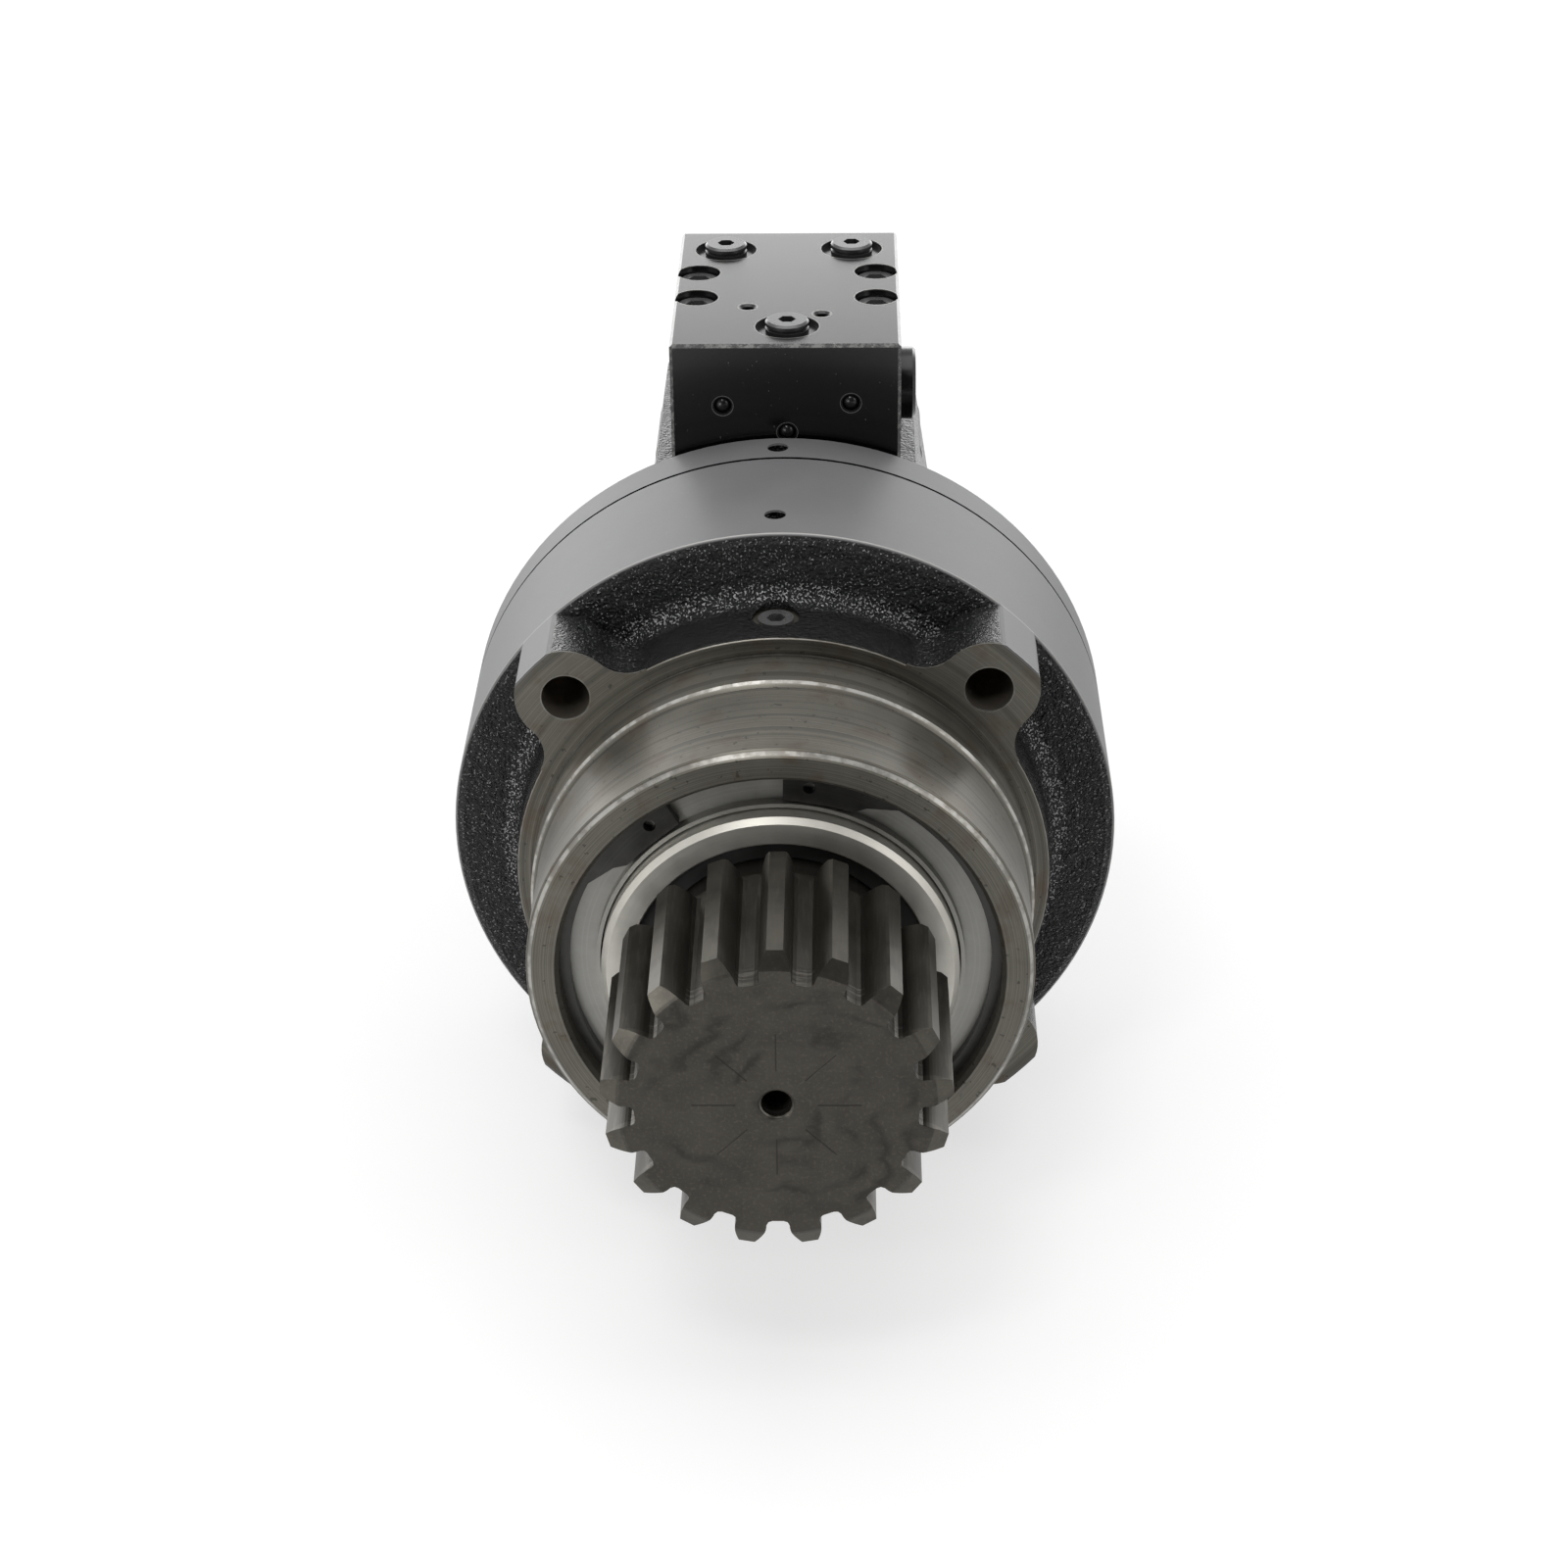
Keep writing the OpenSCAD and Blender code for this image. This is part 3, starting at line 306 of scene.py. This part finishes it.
def bare_iron(f):
    """Colour, roughness and height of machined grey iron."""
    lathe = f.rings(0.55)
    stain = f.noise(22, 4, 0.6)
    shade = f.mix(stain, colour("#4a4842"), colour("#6e6b63"))
    shade = f.mix(f.step(lathe, 0.38, 0.7) * 0.45, shade, colour("#817e74"))
    shade = f.mix(f.step(f.rings(5), 0.5, 0.64) * 0.35, shade, colour("#2b2926"))
    rust = f.step(f.noise(17, 4, 0.6), 0.52, 0.7) * 0.35
    shade = f.mix(rust, shade, colour("#4f3c2a"))
    specks = f.step(f.noise(2.6, 2), 0.66, 0.72)
    shade = f.mix(specks * 0.5, shade, colour("#23211e"))
    return shade, 0.34 + stain * 0.12, lathe * 0.016 + f.noise(0.7, 2) * 0.006


print("case radius", round(CASE_RADIUS, 2), "and its joint with the flange at", round(SPLIT_Y, 2))

# %% [markdown]
# ## Gear case: three finishes on one casting
#
# The gear case is one iron casting with all three surfaces. One material holds them, because the border
# between them is where the lathe stopped: everything in front of the mounting face is bare, everything
# on the outer radius is a rim, and the hollows between the ears are rough. The bores inside are bare
# too. Thin broken light lines run along the corners: partly paint and dirt worn off, partly a painted
# highlight.

# %% Gear case
NOSE_END, NOSE_RADIUS = CASE_LOW[1], 90.2
PILOT_RADIUS, PILOT_LENGTH = 92.2, 20.7
PAD_RADIUS = 99
EAR_CIRCLE = 216
EAR_REACH = EAR_CIRCLE / 2 * math.sqrt(0.5)
EAR_HOLE_RADIUS = 8.75
EAR_TURN = math.radians(1.1)
RIM_FRONT = 32.4
HOLLOW_FLOOR_RADIUS, HOLLOW_DEEP_Y = 103.4, 21
CHAMBER_RADIUS, CHAMBER_STEP, CHAMBER_STEP_Y = 98, 9, 46


def from_ear_hole(f):
    """Distance from the axis of the nearest ear hole. The ears are turned a little about the drive axis."""
    along = f.x * math.cos(EAR_TURN) + f.z * math.sin(EAR_TURN)
    across = f.z * math.cos(EAR_TURN) - f.x * math.sin(EAR_TURN)
    return f.length(abs(along) - EAR_REACH, abs(across) - EAR_REACH)


def in_chamber(f):
    """1 on the bores inside, which are wider behind a step."""
    narrowed = f.r - f.step(f.y, CHAMBER_STEP_Y - 2, CHAMBER_STEP_Y + 2) * CHAMBER_STEP
    return 1 - f.step(narrowed, CHAMBER_RADIUS - 0.4, CHAMBER_RADIUS + 0.2)


def worn_and_highlit_corners(f, from_hole, hole):
    """Light lines along the corners of the case, partly worn metal and partly painted highlight, broken by
    noise but for the rim's.
    """
    rim_front = f.band(f.y, RIM_FRONT - 0.1, 0.15, 0.25) * f.step(f.r, CASE_RADIUS - 0.6, CASE_RADIUS - 0.2)
    ears = f.band(f.y, 0.4, 0.1, 0.25) * f.step(f.r, PAD_RADIUS - 2, PAD_RADIUS - 1) * (1 - hole)
    pilot_front = f.band(f.y, 0.5 - PILOT_LENGTH, 0.3, 0.3) * f.band(f.r, PILOT_RADIUS - 0.5, 0.5, 0.4)
    pilot_foot = f.band(f.y, -0.1, 0.2, 0.3) * f.band(f.r, PILOT_RADIUS, 0.2, 0.2)
    nose = f.band(f.y, NOSE_END + 1.1, 0.5, 0.3) * f.step(f.r, NOSE_RADIUS - 2.4, NOSE_RADIUS - 1.7)
    mouths = f.band(from_hole, EAR_HOLE_RADIUS + 0.25, 0.1, 0.2) * (1 - f.step(f.y, 0.2, 0.5))
    corners = f.larger(ears * 0.35, pilot_front * 0.7, pilot_foot * 0.5, nose * 0.6, mouths * 0.2)
    chips = f.step(f.noise(7, 4, 0.6), 0.4, 0.6)
    return f.larger(rim_front * 0.5, corners * (0.35 + chips * 0.65))


def gear_case_finish():
    f = Finish("gear case")
    rim = on_rim(f)
    from_hole = from_ear_hole(f)
    hole = (1 - f.step(from_hole, EAR_HOLE_RADIUS + 0.1, EAR_HOLE_RADIUS + 0.25)) * f.step(f.y, 0.5, 0.9)
    cast = f.step(f.y, 0.35, 0.7) * (1 - rim) * (1 - in_chamber(f)) * (1 - hole)
    bare = 1 - f.smaller(rim + cast, 1)

    # A band on the floor of the hollows gets more painted glints, a painted highlight, and the neck gets
    # fewer.
    deep = f.step(f.y, HOLLOW_DEEP_Y - 2, HOLLOW_DEEP_Y + 2)
    painted_highlight_band = f.band(f.r, HOLLOW_FLOOR_RADIUS, 1.6, 3) * deep
    neck_with_fewer_glints = 1 - f.step(f.r, PAD_RADIUS + 0.2, PAD_RADIUS + 1)
    paint, paint_rough, paint_height = turned_paint(f)
    sand, sand_rough, sand_height = rough_casting(f, painted_highlight_band - neck_with_fewer_glints * 0.9)
    iron, iron_rough, iron_height = bare_iron(f)

    wear_and_highlight = worn_and_highlit_corners(f, from_hole, hole)
    shade = f.mix(rim, iron, paint)
    shade = f.mix(cast, shade, sand)
    # The light lines on the corners are partly worn metal and partly a painted highlight.
    shade = f.mix(wear_and_highlight, shade, colour("#c2c0bb"))
    # The walls of the ear holes are painted lighter: painted light inside the holes.
    shade = f.mix(hole * 0.7, shade, colour("#8a8278"))
    rough = paint_rough * rim + sand_rough * cast + iron_rough * bare
    metal = f.larger(bare * 0.75, wear_and_highlight * 0.7, seam(f), cast * CAST_SHEEN)
    f.give(base_color=shade, roughness=rough, metallic=metal)
    return f.bump(paint_height * rim + sand_height * cast + iron_height * bare)


gear_case_material = gear_case_finish()
print("gear case material has", len(gear_case_material.node_tree.nodes), "nodes")

# %% [markdown]
# ## Motor casing and rear cover
#
# They are castings too. Only the flange that meets the gear case is turned on its outside, so two of
# the surfaces are mixed by radius alone. The flat joint faces are hidden, and stay with the casting.

# %% Motor castings
FLANGE_BACK = 119.2


def motor_cast_finish():
    f = Finish("motor casting")
    rim = on_rim(f) * (1 - f.step(f.y, FLANGE_BACK + 0.1, FLANGE_BACK + 0.6))
    paint, paint_rough, paint_height = turned_paint(f)
    sand, sand_rough, sand_height = rough_casting(f)
    rough = paint_rough * rim + sand_rough * (1 - rim)
    metal = f.larger(seam(f), (1 - rim) * CAST_SHEEN)
    f.give(base_color=f.mix(rim, sand, paint), roughness=rough, metallic=metal)
    return f.bump(paint_height * rim + sand_height * (1 - rim))


motor_cast_material = motor_cast_finish()
print("motor castings are painted like the case, with a rim as far back as", FLANGE_BACK)

# %% [markdown]
# ## Valve block
#
# The block is sawn and milled steel under satin black paint. The chamfers show a broken light line, and
# so do the rims of the holes on its top and front: paint worn thin on the sharp corners, and partly a
# painted highlight. A point is on a chamfer when it is close to two faces of the block at once, so the
# smallest of three larger distances finds it, and no image is needed.

# %% Valve block
BLOCK_LOW, BLOCK_HIGH = ([c * 1000 for c in corner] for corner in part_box("valve_block"))
BLOCK_FRONT, BLOCK_TOP = BLOCK_LOW[1], BLOCK_HIGH[2]
BOLT_PLACES, COUNTERBORE_RADIUS = [(-35, 172), (-35, 199.5), (35.6, 172), (35.6, 200.5)], 8.7
PORT_PLACES, SPOT_FACE_RADIUS = [(26, 227), (-25, 226), (1, 141)], 12.5
SMALL_HOLES, SMALL_MOUTH_RADIUS = [(-14.6, 161.9), (14.3, 154.2)], 3.7
BALL_PLUGS, SEAT_RADIUS = [(25.5, 138), (-23.7, 137), (1, 126)], 4.05


def nearest_faces(f):
    """Distance to the nearer of the two faces along x, y and z."""
    for value, low, high in zip((f.x, f.y, f.z), BLOCK_LOW, BLOCK_HIGH):
        yield f.smaller(abs(value - low), abs(value - high))


def circles(f, across, places, radius, half):
    """Thin circles about places on a face, given by X and a second coordinate across it."""
    marks = 0
    for x, other in places:
        marks = f.band(f.length(f.x - x, across - other), radius, half, 0.2) + marks
    return marks


def valve_block_finish():
    f = Finish("block paint")
    dx, dy, dz = nearest_faces(f)
    chamfer = f.smaller(f.larger(dx, dy), f.larger(dy, dz), f.larger(dx, dz))
    edge = (1 - f.step(chamfer, 1.0, 1.5)) * f.step(f.noise(3, 4, 0.7), 0.4, 0.66)

    bolts = circles(f, f.y, BOLT_PLACES, COUNTERBORE_RADIUS, 0.15)
    ports = circles(f, f.y, PORT_PLACES, SPOT_FACE_RADIUS, 0.15)
    small = circles(f, f.y, SMALL_HOLES, SMALL_MOUTH_RADIUS, 0.3)
    seats = circles(f, f.z, BALL_PLUGS, SEAT_RADIUS, 0.05)
    on_top = f.step(f.z, BLOCK_TOP - 0.5, BLOCK_TOP - 0.3)
    on_front = 1 - f.step(f.y, BLOCK_FRONT + 0.3, BLOCK_FRONT + 0.5)
    mouths = f.larger((bolts + ports * 0.8 + small * 0.8) * on_top, seats * on_front * 0.6)
    # The light lines on the chamfers and hole rims are partly paint worn thin and partly a painted
    # highlight.
    wear_and_highlight = f.larger(edge * 0.35, mouths * 0.5)

    cloud = f.noise(30, 3)
    dust = f.step(f.noise(0.9, 1), 0.77, 0.8) * 0.3
    shade = f.mix(cloud, colour("#030303"), colour("#070707"))
    shade = f.mix(f.larger(wear_and_highlight, dust), shade, colour("#a9a9a6"))
    f.give(base_color=shade, roughness=0.19 + cloud * 0.06 + wear_and_highlight * 0.3, metallic=wear_and_highlight * 0.5)
    return f.bump(f.noise(1.1, 2) * 0.008 + f.noise(0.35, 1) * 0.003)


valve_block_material = valve_block_finish()
print("valve block between", BLOCK_LOW, BLOCK_HIGH)

# %% [markdown]
# ## Pinion and gears
#
# Gear steel comes from the store under a film of oil, which makes it brown grey with blotches. The tips
# of the teeth and the chamfered ends are the last faces cut, and are lighter. The end of the pinion
# has wiped stains, and eight faint lines scribed at every 45 degrees. The distance to the nearest of
# them comes from the sine of four times the angle, which only needs x, z and r.

# %% Pinion
PINION_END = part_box("pinion_shaft")[0].y * 1000
TOOTH_LENGTH = 68
TIP_RADIUS, GAP_RADIUS = 59, 50
SCRIBE_RADIUS, SCRIBE_HALF = 21, 7


def oiled_steel(f):
    """Colour, roughness and height of oiled gear steel."""
    film = f.noise(14, 4, 0.6)
    streaks = f.noise(1.2, 3, 0.6, (1, 0.08, 1))
    shade = f.mix(film, colour("#33312d"), colour("#4d4a44"))
    shade = f.mix(f.step(streaks, 0.5, 0.7) * 0.3, shade, colour("#625e56"))
    return shade, 0.3 + film * 0.16, streaks * 0.012 + f.noise(0.5, 2) * 0.006


def tide_marks(f):
    """Thin edges of dried oil on the pinion's end, as rings bent by noise and broken by more of it."""
    height = f.r / (TIP_RADIUS - 1) + f.noise(34, 4, 0.5, (1, 1, 1.6)) * 0.9
    lines = f.sum("POWER", abs(f.sum("SINE", height * 15)), 6)
    return lines * f.step(f.noise(21, 2, at=f.shifted(57)), 0.4, 0.62)


def chatter_marks(f):
    """Small scratches that the cutter left in the gaps between the teeth, close to the end."""
    near_end = 1 - f.step(f.y, PINION_END + 8, PINION_END + 16)
    in_gap = 1 - f.step(f.r, GAP_RADIUS - 0.5, GAP_RADIUS + 1)
    return f.noise(1.3, 1, stretch=(0.12, 1, 0.12)) * near_end * in_gap


def scribed_lines(f):
    """Eight lines from the centre outwards, where the sine of four times the angle is near 0."""
    sine = (f.x * f.x - f.z * f.z) * f.x * f.z * 4 / (f.r * f.r * f.r * f.r + 0.01)
    return (1 - f.step(abs(sine) * f.r / 4, 0.15, 0.4)) * f.band(f.r, SCRIBE_RADIUS, SCRIBE_HALF, 0.6)


def pinion_finish():
    f = Finish("pinion steel")
    shade, rough, height = oiled_steel(f)
    end = 1 - f.step(f.y, PINION_END + 0.3, PINION_END + 0.6)
    tooth_end = PINION_END + TOOTH_LENGTH
    on_tooth = 1 - f.step(f.y, tooth_end + 0.8, tooth_end + 1.8)
    land = f.step(f.r, TIP_RADIUS - 1.4, TIP_RADIUS - 0.6) * on_tooth
    chamfer = (1 - f.step(f.y, PINION_END + 2.7, PINION_END + 3.0)) * (1 - end)
    light = f.larger(land, chamfer) * f.step(f.noise(9, 3), 0.2, 0.6)
    shade = f.mix(light * 0.4, shade, colour("#67645c"))
    wiped = f.step(f.noise(16, 5, 0.65, (1, 1, 1.6)), 0.42, 0.66)
    shade = f.mix(end * wiped * 0.3, shade, colour("#4f4c47"))
    shade = f.mix(end * tide_marks(f) * 0.5, shade, colour("#201e1c"))
    chatter = chatter_marks(f) * (1 - end)
    shade = f.mix(f.step(chatter, 0.5, 0.6) * 0.5, shade, colour("#6f6c66"))
    scribe = scribed_lines(f) * end
    shade = f.mix(scribe * 0.7, shade, colour("#2a2825"))
    f.give(base_color=shade, roughness=rough + end * 0.06, metallic=0.82 + light * 0.1)
    return f.bump(height - scribe * 0.08 + end * f.rings(0.8) * 0.01 + chatter * 0.15)


def gear_finish():
    f = Finish("gear steel", metallic=0.85)
    shade, rough, height = oiled_steel(f)
    f.give(base_color=shade, roughness=rough)
    return f.bump(height)


pinion_material = pinion_finish()
gear_material = gear_finish()
print("the pinion ends at", round(PINION_END, 1))

# %% [markdown]
# ## Ground, turned and blackened steel
#
# The other metal pieces differ in colour, in how fine their tool marks are and in how shiny they are,
# so one function makes them all from those numbers. The bearings and the seal collar are ground bright,
# the seal plate is turned, the circlip is worn dark, and the pieces inside the motor are plain grey. The
# case's and the cover's screws are blackened, and the plugs and the block's screws are a little lighter.

# %% Steel and bronze
def steel(name, dark, light, shine, pitch, metallic=0.9, depth=0.01):
    f = Finish(name, metallic=metallic)
    lathe = f.rings(pitch)
    stain = f.noise(9, 4, 0.6)
    shade = f.mix(stain, colour(dark), colour(light))
    shade = f.mix(f.step(lathe, 0.5, 0.75) * 0.3, shade, colour(light))
    f.give(base_color=shade, roughness=shine + stain * 0.12)
    return f.bump(lathe * depth + f.noise(0.6, 2) * depth)


ground_steel = steel("ground steel", "#b5b3ab", "#d5d2ca", 0.4, 0.4, depth=0.004)
plate_steel = steel("plate steel", "#82817d", "#a09f9a", 0.4, 0.9)
worn_steel = steel("worn steel", "#2f2f2e", "#4b4a48", 0.28, 0.8, metallic=0.8)
grey_steel = steel("grey steel", "#6b6b6a", "#949492", 0.34, 0.8)
black_steel = steel("blackened steel", "#1c1c1d", "#353536", 0.2, 0.7, metallic=0.6)
plug_steel = steel("plug steel", "#3e3e3f", "#606060", 0.22, 0.7, metallic=0.7)
bolt_steel = steel("bolt steel", "#6a6a6a", "#8a8a8a", 0.22, 0.7, metallic=0.7)
bronze = steel("bronze", "#7d5d31", "#b08a4f", 0.26, 0.6)
print("eight metals mixed")

# %% [markdown]
# ## Seal rubber
#
# Rubber is nearly black and dull, with a fine pebble from its mould and a little grey bloom.

# %% Rubber
def rubber_finish():
    f = Finish("seal rubber")
    bloom = f.noise(4, 3)
    f.give(base_color=f.mix(bloom, colour("#141414"), colour("#232322")), roughness=0.5 + bloom * 0.15)
    return f.bump(f.noise(0.4, 2) * 0.02)


rubber = rubber_finish()
print("rubber mixed")

# %% [markdown]
# ## Give every piece its finish
#
# A CAD node keeps its mesh, and only its material slots change. A table from finish to nodes keeps the
# whole part readable at a glance.

# %% Dress the nodes
def numbered(stem, count):
    return [f"{stem}_{i}" for i in range(1, count + 1)]


finishes = [
    (gear_case_material, ["gear_case"]),
    (motor_cast_material, ["motor_casing", "rear_cover"]),
    (valve_block_material, ["valve_block"]),
    (pinion_material, ["pinion_shaft"]),
    (gear_material, ["ring_gear", "output_sun", "first_sun", "swash_plate", "shoe_retainer"]
     + numbered("output_planet", 3) + numbered("first_planet", 3)),
    (ground_steel, ["seal_collar", "front_bearing_cup", "rear_bearing_cup", "front_bearing_cone",
                    "rear_bearing_cone", "front_bearing_rollers", "rear_bearing_rollers",
                    "motor_bearing_outer_races", "motor_bearing_inner_races", "motor_bearing_balls",
                    "motor_shaft", "output_planet_pins", "first_planet_pins"] + numbered("piston", 7)),
    (plate_steel, ["seal_plate"]),
    (grey_steel, ["bearing_nut", "output_carrier", "first_carrier", "cylinder_block",
                  "brake_steel_discs", "brake_piston", "brake_springs"]),
    (worn_steel, ["bearing_circlip"]),
    (black_steel, ["flange_bolts", "cover_bolts", "ball_plugs", "side_cap"]),
    (plug_steel, ["port_plugs"]),
    (bolt_steel, ["case_plug", "block_bolts"]),
    (bronze, ["valve_plate", "retainer_guide", "piston_shoes", "brake_linings"]),
    (rubber, ["shaft_seal", "motor_shaft_seal", "housing_o_rings", "collar_o_ring"]),
]
dressed = []
for material, names in finishes:
    for name in names:
        for slot in nodes[name].material_slots:
            slot.material = material
        dressed.append(name)
print(len(dressed), "nodes dressed, left over:", sorted(set(nodes) - set(dressed)))

# %% [markdown]
# ## A copy of the springs
#
# When oil lifts the brake, its piston presses the springs together by 1.5 mm. A CAD node is rigid, so a
# copy of the springs with a mesh of its own takes its place, and is attached to the housing.

# %% Brake springs
bpy.ops.object.select_all(action="DESELECT")
nodes["brake_springs"].select_set(True)
bpy.context.view_layer.objects.active = nodes["brake_springs"]
bpy.ops.object.duplicate()
springs = bpy.context.object
springs.name = "pressed_springs"
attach(springs, "housing")
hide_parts("brake_springs")
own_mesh(springs)

# %% [markdown]
# ## The white room
#
# The photograph has a pure white ground with one soft, faint shadow. A room that is white on all sides
# would light the part from everywhere and wash its shadows out. So the world is white for the camera
# and for reflections, and dimmer for every other ray. The Light Path node tells these rays apart.

# %% World
DIMMED = 0.45


def seen_level(tree, otherwise):
    """1 for rays from the camera, a reflection or a pane, and another level for all other rays."""
    path = tree.nodes.new("ShaderNodeLightPath")
    seen = path.outputs["Is Camera Ray"]
    for name in ("Is Glossy Ray", "Is Transmission Ray"):
        either = tree.nodes.new("ShaderNodeMath")
        either.operation = "MAXIMUM"
        tree.links.new(seen, either.inputs[0])
        tree.links.new(path.outputs[name], either.inputs[1])
        seen = either.outputs[0]
    chosen = tree.nodes.new("ShaderNodeMapRange")
    chosen.inputs["To Min"].default_value = otherwise
    tree.links.new(seen, chosen.inputs["Value"])
    return chosen.outputs[0]


world = bpy.data.worlds.new("white room")
bpy.context.scene.world = world
world.use_nodes = True
sky = world.node_tree.nodes["Background"]
sky.inputs["Color"].default_value = (1, 1, 1, 1)
world.node_tree.links.new(seen_level(world.node_tree, DIMMED), sky.inputs["Strength"])
print("the world is white, and dimmed to", DIMMED, "for the light that it gives")

# %% [markdown]
# ## Floor and card
#
# The floor is matt grey, so it takes the shadow, and it glows for the camera and for reflections only,
# which lifts it to white. The glow grows with the distance, so the floor's edge can't be told from the
# world behind it. A black card behind the camera keeps the white room out of the black paint, as a
# photographer's card would.

# %% Floor and card
FLOOR_Z = cad_box[0][2]
GLOW_NEAR, NEAR, FAR = 0.62, 1.0, 3.0


def matt_plane(name, grey, size, place, turn=(0, 0, 0)):
    bpy.ops.object.select_all(action="DESELECT")
    bpy.ops.mesh.primitive_plane_add(size=size, location=place, rotation=turn)
    plane = bpy.context.object
    plane.name = name
    paint = bpy.data.materials.new(name)
    paint.use_nodes = True
    shader = paint.node_tree.nodes["Principled BSDF"]
    shader.inputs["Base Color"].default_value = (grey, grey, grey, 1)
    shader.inputs["Roughness"].default_value = 1
    plane.data.materials.append(paint)
    return plane


def glow_with_distance(tree):
    """Takes the sheen away, and adds a glow that grows from near to far for the rays that see it."""
    shader = tree.nodes["Principled BSDF"]
    spot = tree.nodes.new("ShaderNodeTexCoord")
    distance = tree.nodes.new("ShaderNodeVectorMath")
    distance.operation = "LENGTH"
    glow = tree.nodes.new("ShaderNodeMapRange")
    glow.inputs["From Min"].default_value = NEAR
    glow.inputs["From Max"].default_value = FAR
    glow.inputs["To Min"].default_value = GLOW_NEAR
    shader.inputs["Specular IOR Level"].default_value = 0
    tree.links.new(spot.outputs["Object"], distance.inputs[0])
    tree.links.new(distance.outputs["Value"], glow.inputs["Value"])
    tree.links.new(glow.outputs[0], shader.inputs["Emission Color"])
    tree.links.new(seen_level(tree, 0), shader.inputs["Emission Strength"])


floor = matt_plane("floor", grey=0.4, size=16, place=(0, 0, FLOOR_Z))
glow_with_distance(floor.active_material.node_tree)

card = matt_plane("black card", grey=0.03, size=6, place=(0, -2.4, 2), turn=(math.pi / 2, 0, 0))
card.visible_camera = False
print("floor at", round(FLOOR_Z, 4), "and a card behind the camera")

# %% [markdown]
# ## Soft boxes
#
# A wide soft box stands behind the part, and its reflection gives the rims their light edges. Another
# hangs above. Three small ones in front put highlights on the bare iron and in the wet paint.

# %% Soft boxes
AIM = Vector((0, 0.05, 0))
SOFT_BOXES = {
    "box above": {"place": (0, 0.2, 2.0), "size": (2.4, 1.8), "watts": 24},
    "box behind": {"place": (-0.35, 2.2, 0.42), "size": (4.8, 1.0), "watts": 37},
    "box front top": {"place": (-0.3, -0.8, 1.4), "size": (0.4, 0.3), "watts": 5},
    "box front left": {"place": (-0.62, -0.75, 0.12), "size": (0.4, 0.4), "watts": 3},
    "box front right": {"place": (1.6, -1.0, 0.9), "size": (0.8, 0.8), "watts": 5},
}


def soft_box(name, place, size, watts):
    data = bpy.data.lights.new(name, "AREA")
    data.shape = "RECTANGLE"
    data.size, data.size_y = size
    data.energy = watts
    box = bpy.data.objects.new(name, data)
    bpy.context.collection.objects.link(box)
    box.location = place
    box.rotation_euler = (AIM - Vector(place)).to_track_quat("-Z", "Y").to_euler()


for name, box in SOFT_BOXES.items():
    soft_box(name, **box)
print(len(SOFT_BOXES), "soft boxes aimed at the part")

# %% [markdown]
# ## Standard view
#
# The view transform is set to Standard, so the colours show as they are written.

# %% Finish
bpy.context.scene.view_settings.view_transform = "Standard"
